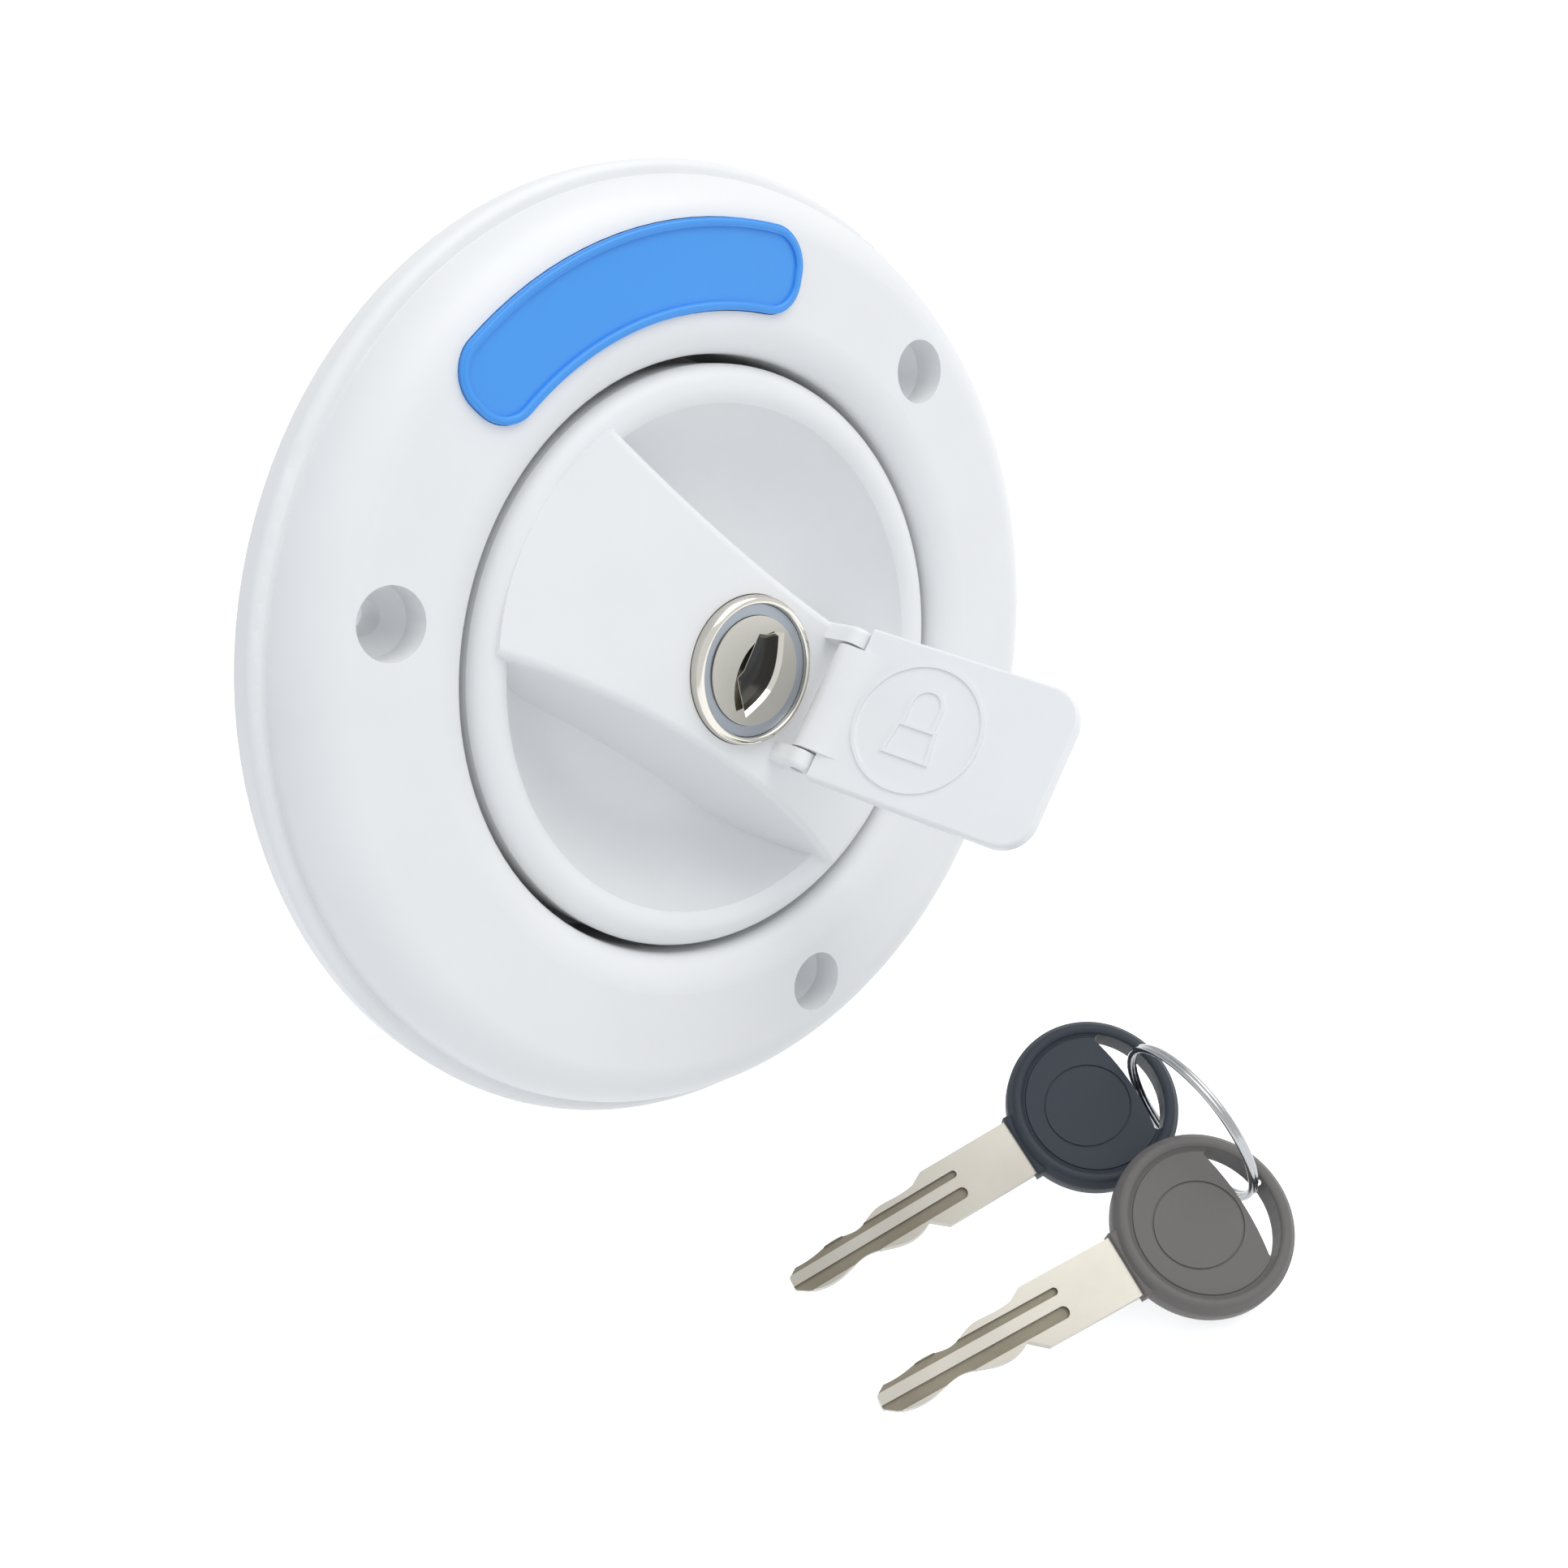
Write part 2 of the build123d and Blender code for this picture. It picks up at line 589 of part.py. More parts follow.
def make_cap_core():
    """Plug that enters the neck: plate, three lugs and a window for the bolt."""
    core = tube(CAP_R, BARREL_R + CORE_WALL, CORE_PLATE_Z, CORE_TOP_Z)
    inner_r = CORE_R - CORE_WALL
    core += tube(CORE_NECK_R, inner_r, SHELF_Z - CORE_WALL, CORE_PLATE_Z)
    core += tube(CORE_R, inner_r, CORE_END_Z, CORE_PLATE_Z)
    lug_top_z = LEDGE_END_Z - LOOSE_GAP
    lug_end_z = lug_top_z - LUG_T
    for angle in LUG_ANGLES:
        lug = sector(CORE_R - GLUE_GAP, CORE_NECK_R, LUG_SPAN, lug_end_z, lug_top_z)
        core += Rot(0, 0, angle) * lug
    half = BOLT_WIDE / 2 + SLOT_GAP
    window_z = (BOLT_END_Z - SLOT_GAP, BOLT_TOP_Z + SLOT_GAP)
    window = block((inner_r - CORE_WALL, CORE_R + CORE_WALL), (-half, half), window_z)
    core -= Rot(0, 0, BOLT_ANGLE) * window
    for angle in COVER_BOSS_ANGLES:
        place = polar(COVER_BOSS_AT, angle)
        core += place * rod(COVER_BOSS_R, COVER_TOP_Z, CORE_PLATE_Z)
        core -= place * rod(COVER_SCREW_R, COVER_TOP_Z, COVER_TOP_Z + CORE_PLATE_T * 2)
    for x in (-CAP_SCREW_X, CAP_SCREW_X):
        for y in (-CAP_SCREW_Y, CAP_SCREW_Y):
            core -= Pos(x, y, 0) * rod(CAP_SCREW_R + GLUE_GAP, CORE_PLATE_Z, CORE_TOP_Z)
    return CAP_FRAME * core


def make_cap_seal():
    """Flat ring between the cap's plate and the well's shelf."""
    return tube(CAP_R, CORE_NECK_R + LOOSE_GAP, SHELF_Z, CORE_PLATE_Z)


def make_core_cover():
    """Bottom plate of the cap core, with the bolt's guide channel."""
    cover_r = CORE_R - CORE_WALL - GLUE_GAP
    cover = rod(cover_r, CORE_END_Z, COVER_TOP_Z)
    half = BOLT_WIDE / 2 + SLOT_GAP
    wall = half + CORE_WALL
    start = BOLT_PIN_AT + BOLT_PIN_R
    guide = block((start, cover_r), (-wall, wall), (COVER_TOP_Z, BOLT_TOP_Z))
    guide -= block((start, cover_r), (-half, half), (BOLT_END_Z - LOOSE_GAP, BOLT_TOP_Z))
    cover += Rot(0, 0, BOLT_ANGLE) * (guide & rod(cover_r, CORE_END_Z, BOLT_TOP_Z))
    for angle in COVER_BOSS_ANGLES:
        place = polar(COVER_BOSS_AT, angle)
        cover -= place * rod(COVER_SCREW_R + GLUE_GAP, CORE_END_Z, COVER_TOP_Z)
    return CAP_FRAME * cover


def pan_screw(radius, length):
    """Pan-head screw that points up, with its head's seat at the origin."""
    head = rod(2 * radius, -1.4 * radius, 0)
    head = fillet(head.edges().sort_by(Axis.Z)[0], radius / 2)
    slot = block((-2 * radius, 2 * radius), (-radius / 5, radius / 5), (-1.4 * radius, -0.7 * radius))
    return head - slot + rod(radius, 0, length)


def make_cap_screws():
    """Four screws from the core's plate up into the cap shell."""
    length = crown_z(CAP_SCREW_X) - 3 * CAP_WALL - CORE_PLATE_Z
    screw = pan_screw(CAP_SCREW_R, length)
    spots = [(x, y) for x in (-CAP_SCREW_X, CAP_SCREW_X) for y in (-CAP_SCREW_Y, CAP_SCREW_Y)]
    return CAP_FRAME * Compound([Pos(x, y, CORE_PLATE_Z) * screw for x, y in spots])


def make_cover_screws():
    """Three screws from below into the core's bosses."""
    screw = pan_screw(COVER_SCREW_R, COVER_T + CORE_PLATE_T)
    places = [polar(COVER_BOSS_AT, angle) for angle in COVER_BOSS_ANGLES]
    return CAP_FRAME * Compound([place * Pos(0, 0, CORE_END_Z) * screw for place in places])


# Lock ---------------------------------------------------------------------------------------------
def make_lock_bezel():
    """Rounded chrome ring round the lock's head."""
    ring = tube(BEZEL_R, BARREL_HEAD_R + GLUE_GAP, SEAT_Z, BEZEL_TOP_Z)
    top = ring.edges().filter_by(GeomType.CIRCLE).group_by(Axis.Z)[-1]
    width = BEZEL_R - BARREL_HEAD_R - GLUE_GAP
    return CAP_FRAME * fillet(top, width * 0.45)


def groove_tool():
    """Box that opens one wafer groove in the barrel, along +Y."""
    half = WAFER_WIDE / 2 + SLOT_GAP
    depth = WAFER_LONG / 2 + WAFER_TRAVEL + SLOT_GAP
    last_z = WAFER_FIRST_Z - (WAFER_COUNT - 1) * WAFER_PITCH
    return block((-half, half), (0, depth), (last_z - WAFER_T, WAFER_FIRST_Z + WAFER_T))


def make_lock_barrel():
    """Fixed cylinder with a stepped head and a groove at each key position."""
    barrel = rod(BARREL_R, LOCK_END_Z, SEAT_Z) + rod(BARREL_HEAD_R, SEAT_Z, BARREL_HEAD_Z)
    barrel -= rod(PLUG_R + RUN_GAP, LOCK_END_Z, BARREL_HEAD_Z)
    barrel -= rod(PLUG_HEAD_R + RUN_GAP, PLUG_HEAD_Z - RUN_GAP, BARREL_HEAD_Z)
    barrel -= groove_tool()
    barrel -= Rot(0, 0, -KEY_TURN) * groove_tool()
    return CAP_FRAME * barrel


def make_lock_nut():
    """Hexagon nut that clamps the lock under the grip bar."""
    top_z = BAR_TOP_Z - CROWN_R - (BAR_TOP_Z - BAR_CEILING_Z) + math.sqrt(CROWN_R**2 - NUT_FLATS**2 / 3)
    nut = extrude(RegularPolygon(NUT_FLATS / 2, 6, major_radius=False), NUT_T)
    nut = Pos(0, 0, top_z - NUT_T) * nut
    return CAP_FRAME * (nut - rod(BARREL_R, top_z - NUT_T, top_z))


def keyhole_lens():
    """Lens-shaped mouth of the keyway, long axis along Y."""
    long = KEYHOLE_LONG / 2
    wide = KEYHOLE_WIDE / 2
    right = ThreePointArc((0, -long), (wide, 0), (0, long)).edge()
    left = ThreePointArc((0, long), (-wide, 0), (0, -long)).edge()
    return Pos(0, 0, KEYHOLE_FLOOR_Z) * extrude(make_face(Wire([right, left])), KEYHOLE_DEPTH)


def wafer_heights():
    """Mid-heights of the wafers."""
    return [WAFER_FIRST_Z - step * WAFER_PITCH for step in range(WAFER_COUNT)]


def make_lock_plug():
    """Turning plug: keyway, shutter room, wafer slots and a square tail."""
    plug = rod(PLUG_R, LOCK_END_Z, PLUG_TOP_Z) + rod(PLUG_HEAD_R, PLUG_HEAD_Z, PLUG_TOP_Z)
    plug -= keyhole_lens()
    long = CHANNEL_LONG / 2
    wide = CHANNEL_WIDE / 2
    plug -= block((-wide, wide), (-long, long), (CHANNEL_END_Z, KEYHOLE_FLOOR_Z))
    room_near = SHUTTER_PIN_X - SHUTTER_REACH - LOOSE_GAP / 2
    room_far = SHUTTER_PIN_X + SHUTTER_KNUCKLE_R + LOOSE_GAP / 2
    plug -= block((room_near, room_far), (-long, long), (SHUTTER_ROOM_Z, KEYHOLE_FLOOR_Z))
    pin_half = long + CORE_WALL / 2
    pin = Rot(90, 0, 0) * Cylinder(SHUTTER_PIN_R, 2 * pin_half)
    plug -= Pos(SHUTTER_PIN_X, 0, SHUTTER_PIN_Z) * pin
    slot_half = WAFER_WIDE / 2 + RUN_GAP
    slot_t = WAFER_T / 2 + RUN_GAP
    ear_x = WAFER_WIDE / 2 + WAFER_EAR + RUN_GAP
    for z in wafer_heights():
        plug -= block((-slot_half, slot_half), (-PLUG_R, PLUG_R), (z - slot_t, z + slot_t))
        low_y = -WAFER_EAR / 2 - SPRING_LENGTH - RUN_GAP
        high_y = WAFER_EAR / 2 + WAFER_TRAVEL + RUN_GAP
        plug -= block((0, ear_x), (low_y, high_y), (z - slot_t, z + slot_t))
    half = TAIL_SIDE / 2
    plug += block((-half, half), (-half, half), (CAM_END_Z, LOCK_END_Z))
    return CAP_FRAME * (plug - rod(CAM_SCREW_R, CAM_END_Z, CHANNEL_END_Z - CAP_WALL / 2))


def make_wafers():
    """Five wafers with key windows, held flush as a key holds them."""
    half = WAFER_WIDE / 2
    wafer = block((-half, half), (-WAFER_LONG / 2, WAFER_LONG / 2), (0, WAFER_T))
    wafer += block((0, half + WAFER_EAR), (-WAFER_EAR / 2, WAFER_EAR / 2), (0, WAFER_T))
    window_x = (-CHANNEL_WIDE / 2, CHANNEL_WIDE / 2)
    wafer -= block(window_x, (-CHANNEL_LONG / 2, CHANNEL_LONG / 2), (0, WAFER_T))
    lift = [Pos(0, 0, z - WAFER_T / 2) * wafer for z in wafer_heights()]
    return CAP_FRAME * Compound(lift)


def make_wafer_springs():
    """Five small springs, one behind each wafer's ear."""
    x = WAFER_WIDE / 2 + WAFER_EAR / 2
    y = -WAFER_EAR / 2 - SPRING_LENGTH / 2
    spring = Rot(90, 0, 0) * Cylinder(SPRING_R, SPRING_LENGTH)
    return CAP_FRAME * Compound([Pos(x, y, z) * spring for z in wafer_heights()])


def make_key_shutter():
    """Dust shutter that closes the keyway and swings inwards."""
    half = SHUTTER_LONG / 2
    plate_z = (-SHUTTER_T / 2, SHUTTER_T / 2)
    shutter = block((-SHUTTER_REACH, 0), (-half, half), plate_z)
    shutter -= block((-SHUTTER_KNUCKLE_R - RUN_GAP, 0), (SHUTTER_KNUCKLE_HALF, half), plate_z)
    shutter += Rot(90, 0, 0) * Cylinder(SHUTTER_KNUCKLE_R, 2 * SHUTTER_KNUCKLE_HALF)
    shutter -= Rot(90, 0, 0) * Cylinder(SHUTTER_PIN_R + RUN_GAP, SHUTTER_LONG)
    return CAP_FRAME * Pos(SHUTTER_PIN_X, 0, SHUTTER_PIN_Z) * shutter


def make_shutter_pin():
    """Pin that the shutter turns on."""
    length = CHANNEL_LONG + CORE_WALL - 2 * RUN_GAP
    pin = Rot(90, 0, 0) * Cylinder(SHUTTER_PIN_R, length)
    return CAP_FRAME * Pos(SHUTTER_PIN_X, 0, SHUTTER_PIN_Z) * pin


def make_shutter_spring():
    """Small coil round the shutter's pin, beside its knuckle."""
    low = SHUTTER_KNUCKLE_HALF + RUN_GAP
    high = CHANNEL_LONG / 2 - RUN_GAP
    coil = tube(SHUTTER_KNUCKLE_R, SHUTTER_PIN_R + RUN_GAP, low, high)
    return CAP_FRAME * Pos(SHUTTER_PIN_X, 0, SHUTTER_PIN_Z) * Rot(-90, 0, 0) * coil


def spiral_point(turn, shift):
    """Point of the cam's slot at a key turn in degrees, shifted sideways."""
    pitch = BOLT_TRAVEL / KEY_TURN
    angle = math.radians(BOLT_ANGLE + turn)
    radius = BOLT_PIN_AT + pitch * turn + shift
    return (radius * math.cos(angle), radius * math.sin(angle))


def make_locking_cam():
    """Disc on the plug's tail, with a spiral slot that drives the bolt's pin."""
    half = BOLT_PIN_R + SLOT_GAP
    turns = [KEY_TURN * step / 6 for step in range(7)]
    outside = Spline(*[spiral_point(turn, half) for turn in turns]).edge()
    inside = Spline(*[spiral_point(turn, -half) for turn in turns]).edge()
    start = Line(spiral_point(0, -half), spiral_point(0, half)).edge()
    end = Line(spiral_point(KEY_TURN, -half), spiral_point(KEY_TURN, half)).edge()
    slot = extrude(make_face(Wire([start, outside, end, inside])), CAM_T)
    for turn in (0, KEY_TURN):
        slot += Pos(*spiral_point(turn, 0), 0) * rod(half, 0, CAM_T)
    cam = rod(CAM_R, 0, CAM_T) - slot
    side = TAIL_SIDE / 2 + RUN_GAP
    cam -= block((-side, side), (-side, side), (0, CAM_T))
    return CAP_FRAME * Pos(0, 0, CAM_END_Z) * cam


def make_cam_screw():
    """Screw that holds the cam on the plug's tail."""
    head = rod(CAM_SCREW_HEAD_R, CAM_SCREW_HEAD_Z, CAM_END_Z)
    shank = rod(CAM_SCREW_R, CAM_END_Z, CHANNEL_END_Z - CAP_WALL)
    half = CAM_SCREW_SLOT / 2
    slot_z = (CAM_SCREW_HEAD_Z, CAM_SCREW_HEAD_Z + CAM_SCREW_SLOT)
    slot = block((-CAM_SCREW_HEAD_R, CAM_SCREW_HEAD_R), (-half, half), slot_z)
    return CAP_FRAME * (head - slot + shank)


def make_lock_bolt():
    """Locking bolt, drawn back into the core, with its pin in the cam's slot."""
    half = BOLT_WIDE / 2
    bolt = block((BOLT_INNER_R, BOLT_OUTER_R + CORE_WALL), (-half, half), (BOLT_END_Z, BOLT_TOP_Z))
    bolt &= rod(BOLT_OUTER_R, BOLT_END_Z, BOLT_TOP_Z)
    bolt += Pos(BOLT_PIN_AT, 0, 0) * rod(BOLT_PIN_R, BOLT_TOP_Z, CAM_TOP_Z - RUN_GAP)
    return CAP_FRAME * Rot(0, 0, BOLT_ANGLE) * bolt


# Dust flap ----------------------------------------------------------------------------------------
def hoop_outline(radius):
    """Arch of the padlock's shackle, from its top down to the body."""
    return Circle(radius) + Pos(0, -SIGN_HOOP_LEG / 2) * Rectangle(2 * radius, SIGN_HOOP_LEG)


def padlock_sign():
    """Padlock outline in a ring, drawn flat with its shackle towards +Y."""
    ring = Circle(SIGN_R) - Circle(SIGN_R - SIGN_LINE)
    body = Trapezoid(SIGN_LOCK_W, SIGN_LOCK_H, SIGN_LOCK_TAPER)
    hoop = hoop_outline(SIGN_HOOP_R) - hoop_outline(SIGN_HOOP_R - SIGN_LINE)
    lock = body - offset(body, -SIGN_LINE) + Pos(0, SIGN_LOCK_H / 2 + SIGN_HOOP_LEG) * hoop
    return ring + Pos(0, -SIGN_LOCK_DOWN) * lock


def make_dust_flap():
    """Hinged cover, standing open, with the padlock sign on its inner face."""
    half = FLAP_T / 2
    root_z = KNUCKLE_R + LOOSE_GAP
    leaf = block((-half, half), (-FLAP_HALF, FLAP_HALF), (root_z, FLAP_REACH))
    tips = leaf.edges().filter_by(Axis.X).group_by(Axis.Z)[-1]
    leaf = fillet(tips, FLAP_CORNER)
    faces = leaf.faces().filter_by(Axis.X)
    rims = [e for face in faces for e in face.edges() if e.center().Z > root_z + FLAP_EDGE]
    leaf = fillet(rims, FLAP_EDGE)
    leaf += block((-half, half), (-KNUCKLE_HALF, KNUCKLE_HALF), (0, root_z))
    leaf += Rot(90, 0, 0) * Cylinder(KNUCKLE_R, 2 * KNUCKLE_HALF)
    leaf -= Rot(90, 0, 0) * Cylinder(HINGE_PIN_R + RUN_GAP, 2 * HINGE_HALF)
    sign = extrude(padlock_sign(), SIGN_RAISE)
    inner_face = Plane(origin=(-half, 0, SIGN_AT), x_dir=(0, 0, 1), z_dir=(-1, 0, 0))
    leaf += inner_face * sign
    return CAP_FRAME * Pos(HINGE_X, HINGE_SIDE, HINGE_Z) * Rot(0, FLAP_LEAN, 0) * leaf


def make_flap_pin():
    """Pin through the flap's knuckle and both ears."""
    pin = Rot(90, 0, 0) * Cylinder(HINGE_PIN_R, 2 * HINGE_HALF - GLUE_GAP)
    return CAP_FRAME * Pos(HINGE_X, HINGE_SIDE, HINGE_Z) * pin


# Keys ---------------------------------------------------------------------------------------------
def blade_edge(bits, side):
    """One long edge of the blade, from its tang inside the bow to the tip; side is 1 or -1."""
    bow_edge = BOW_R - BOW_RIM_W
    root = [(BLADE_TANG, BLADE_TANG_W / 2), (bow_edge, BLADE_TANG_W / 2)]
    root += [(bow_edge, BLADE_SHOULDER_W / 2), (BLADE_SHOULDER_END, BLADE_SHOULDER_W / 2), bits[0]]
    tip = (BLADE_TIP, BLADE_TIP_W / 2)
    shank = Polyline(*[(x, side * y) for x, y in root])
    wave = Spline(*[(x, side * y) for x, y in bits])
    end = Polyline(*[(x, side * y) for x, y in (bits[-1], tip)])
    return [shank, wave, end]


def make_key_blade():
    """Blade in the key's own frame: waved edges, and a narrow and a wide groove on each face."""
    edges = blade_edge(LEFT_BITS, 1) + blade_edge(RIGHT_BITS, -1)
    tang, tip = BLADE_TANG_W / 2, BLADE_TIP_W / 2
    edges.append(Line((BLADE_TANG, tang), (BLADE_TANG, -tang)))
    edges.append(Line((BLADE_TIP, tip), (BLADE_TIP, -tip)))
    blade = extrude(make_face(edges), BLADE_T / 2, both=True)
    blade = fillet(blade.edges().filter_by(Axis.Z).group_by(Axis.X)[-1], BLADE_TIP_ROUND)
    length = 2 * (BLADE_TIP - GROOVE_START)
    for width, shift in (NARROW_GROOVE, WIDE_GROOVE):
        groove = extrude(SlotOverall(length, width), GROOVE_DEPTH, both=True)
        cutter = Pos(BLADE_TIP, shift, BLADE_T / 2) * groove
        blade -= cutter
        blade -= Rot(180, 0, 0) * cutter
    return blade


def make_key_bow():
    """Round plastic head with a raised rim, an oval badge and a slot for the ring."""
    bow = Cylinder(BOW_R, BOW_T)
    bow = fillet(bow.edges(), BOW_T / 3)
    dish_r = BOW_R - BOW_RIM_W
    dish = Cylinder(dish_r, BOW_DISH)
    badge = extrude(Pos(BADGE_AHEAD, 0) * Ellipse(BADGE_ALONG, BADGE_ACROSS), BADGE_RAISE)
    face_z = BOW_T / 2 - BOW_DISH
    for side in (0, 180):
        bow -= Rot(side, 0, 0) * Pos(0, 0, BOW_T / 2 - BOW_DISH / 2) * dish
        bow += Rot(side, 0, 0) * Pos(0, 0, face_z) * badge
    chord = block((-2 * BOW_R, -BOW_SLOT_CHORD), (-BOW_R, BOW_R), (-BOW_T, BOW_T))
    slot = Cylinder(dish_r, 2 * BOW_T) & chord
    slot = fillet(slot.edges().filter_by(Axis.Z), BOW_DISH)
    return bow - slot


def key_b_frame():
    """Frame of the front key: X towards its tip, Z out of its face."""
    place = Vector(KEY_B_RIGHT, -KEY_B_DOWN, KEY_B_OUT)
    return Plane(origin=place, x_dir=KEY_B_AIM, z_dir=KEY_FACE)


def key_a_frame():
    """Frame of the rear key, beside and behind the front one."""
    front = key_b_frame()
    turned = front.rotated((0, 0, KEY_A_SPLAY))
    shift = Vector(KEY_A_AHEAD, -KEY_A_BESIDE, -(BOW_T + LOOSE_GAP))
    turned.origin = front.from_local_coords(shift)
    return turned


def slot_point(frame, side):
    """Middle of a bow's slot, where the ring's wire passes."""
    outer = math.sqrt((BOW_R - BOW_RIM_W) ** 2 - side**2)
    return frame.from_local_coords(Vector(-(outer + BOW_SLOT_CHORD) / 2, side, 0))


def make_split_ring():
    """Two close coils of wire through both slots."""
    first = slot_point(key_a_frame(), SLOT_A_SIDE)
    second = slot_point(key_b_frame(), SLOT_B_SIDE)
    chord = second - first
    away = (KEY_FACE - chord.normalized() * KEY_FACE.dot(chord.normalized())).normalized()
    rise = math.sqrt(RING_R**2 - (chord.length / 2) ** 2)
    centre = (first + second) * 0.5 + away * rise
    plane = Plane(origin=centre, x_dir=chord, z_dir=chord.cross(away))
    coil = Torus(RING_R, RING_WIRE_R)
    step = 1.8 * RING_WIRE_R
    low = -step * (RING_COILS - 1) / 2
    ring = Pos(0, 0, low) * coil
    for turn in range(1, RING_COILS):
        ring += Pos(0, 0, low + turn * step) * coil
    return plane * ring


# Write every piece --------------------------------------------------------------------------------
PIECES = {
    "filler_base": make_filler_base,
    "front_trim": make_front_trim,
    "label_insert": make_label_insert,
    "wall_gasket": make_wall_gasket,
    "hose_tail": make_hose_tail,
    "vent_nipple": make_vent_nipple,
    "cap_seal": make_cap_seal,
    "cap_shell": make_cap_shell,
    "cap_core": make_cap_core,
    "core_cover": make_core_cover,
    "cap_screws": make_cap_screws,
    "cover_screws": make_cover_screws,
    "lock_bezel": make_lock_bezel,
    "lock_barrel": make_lock_barrel,
    "lock_nut": make_lock_nut,
    "lock_plug": make_lock_plug,
    "wafers": make_wafers,
    "wafer_springs": make_wafer_springs,
    "key_shutter": make_key_shutter,
    "shutter_pin": make_shutter_pin,
    "shutter_spring": make_shutter_spring,
    "locking_cam": make_locking_cam,
    "cam_screw": make_cam_screw,
    "lock_bolt": make_lock_bolt,
    "dust_flap": make_dust_flap,
    "flap_pin": make_flap_pin,
    "split_ring": make_split_ring,
}


def main():
    """Build each piece, stand it upright and write it as a STEP file."""
    os.makedirs("parts", exist_ok=True)
    for name, make in PIECES.items():
        export_step(UPRIGHT * make(), f"parts/{name}.step")
    bow = make_key_bow()
    blade = make_key_blade()
    for name, frame in (("key_a", key_a_frame()), ("key_b", key_b_frame())):
        export_step(UPRIGHT * (frame * (bow - blade)), f"parts/{name}_bow.step")
        export_step(UPRIGHT * (frame * blade), f"parts/{name}_blade.step")


if __name__ == "__main__":
    main()
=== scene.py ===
"""Looks of a lockable water filler inlet with its pair of keys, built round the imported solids.

Pieces are drawn in millimetres, face up: the inlet's axis is +Z, the wall is Z = 0 and the label
is towards +Y. Each one is then stood upright on the wall, in metres, where its solid is.
"""

import json
import logging
import math
from collections.abc import Iterable, Sequence
from dataclasses import dataclass, field, replace
from enum import Enum

import bmesh
import bpy
from mathutils import Matrix, Vector


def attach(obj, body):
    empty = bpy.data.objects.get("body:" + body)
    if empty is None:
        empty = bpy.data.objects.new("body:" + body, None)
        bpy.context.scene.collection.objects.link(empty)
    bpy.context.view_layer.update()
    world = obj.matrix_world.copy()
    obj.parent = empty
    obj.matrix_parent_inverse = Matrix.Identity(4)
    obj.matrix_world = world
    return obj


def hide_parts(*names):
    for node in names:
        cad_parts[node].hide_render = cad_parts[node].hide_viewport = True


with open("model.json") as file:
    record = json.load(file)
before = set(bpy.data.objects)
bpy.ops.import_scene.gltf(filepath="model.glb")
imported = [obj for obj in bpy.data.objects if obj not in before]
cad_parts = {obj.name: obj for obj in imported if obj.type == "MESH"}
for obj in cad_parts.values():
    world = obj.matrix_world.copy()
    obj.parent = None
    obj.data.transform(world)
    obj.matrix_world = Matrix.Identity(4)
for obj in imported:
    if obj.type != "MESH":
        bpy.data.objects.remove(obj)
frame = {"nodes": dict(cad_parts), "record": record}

LOG = logging.getLogger("inlet")
MM = 0.001
UPRIGHT = Matrix.Rotation(math.radians(90.0), 4, "X") @ Matrix.Scale(MM, 4)
GRIP_ANGLE = -52.0
ON_CAP = UPRIGHT @ Matrix.Rotation(math.radians(GRIP_ANGLE), 4, "Z")
CUT_PAST = 1.0  # how far a cutting shape passes the surface that it cuts
MERGE_MM = 1e-3  # packed points closer than this are one
WELD_MM = 1e-4  # drawn points closer than this are one
SLIVER_MM = 1e-5  # drawn edges shorter than this go
FLAT_COS = 0.99  # a face leans less than this from its piece's own face
SIDE_COS = 0.9  # a face looks roughly the same way
MOTTLE_BAND = (0.3, 0.7)  # part of the noise that the two tints span
GLOSS_SPREAD = 0.15  # share by which the roughness varies
RELIEF_STRENGTH = 0.5
COAT_ROUGHNESS = 0.08

Point = tuple[float, float, float]
Flat = tuple[float, float]
Colour = tuple[float, float, float]
Mesh, Thing, Material = bpy.types.Mesh, bpy.types.Object, bpy.types.Material
Node, Socket, Tree = bpy.types.Node, bpy.types.NodeSocket, bpy.types.NodeTree


# Node trees ---------------------------------------------------------------------------------------
def feed(node: Node, **links: Socket) -> None:
    """Joins sockets to a node's named inputs, with _ in a name for a space."""
    for label, source in links.items():
        node.id_data.links.new(source, node.inputs[label.replace("_", " ")])


def add_node(tree: Tree, kind: str, **links: Socket) -> Node:
    """Adds a node and joins its named inputs.

    Args:
        tree: The tree to add to.
        kind: The node's type.
        links: Socket that feeds each input, as in feed.

    Returns:
        The new node.
    """
    made = tree.nodes.new(kind)
    feed(made, **links)
    return made


# Finishes -----------------------------------------------------------------------------------------
class Grain(Enum):
    """Fine surface marks that a finish can carry."""

    MOULDED = "fine spark-eroded mould texture"
    POLISHED = "polish with hairline scratches"
    BRUSHED = "long parallel brush lines"
    CAST = "tumbled die casting"
    SOFT = "matt rubber or foam"


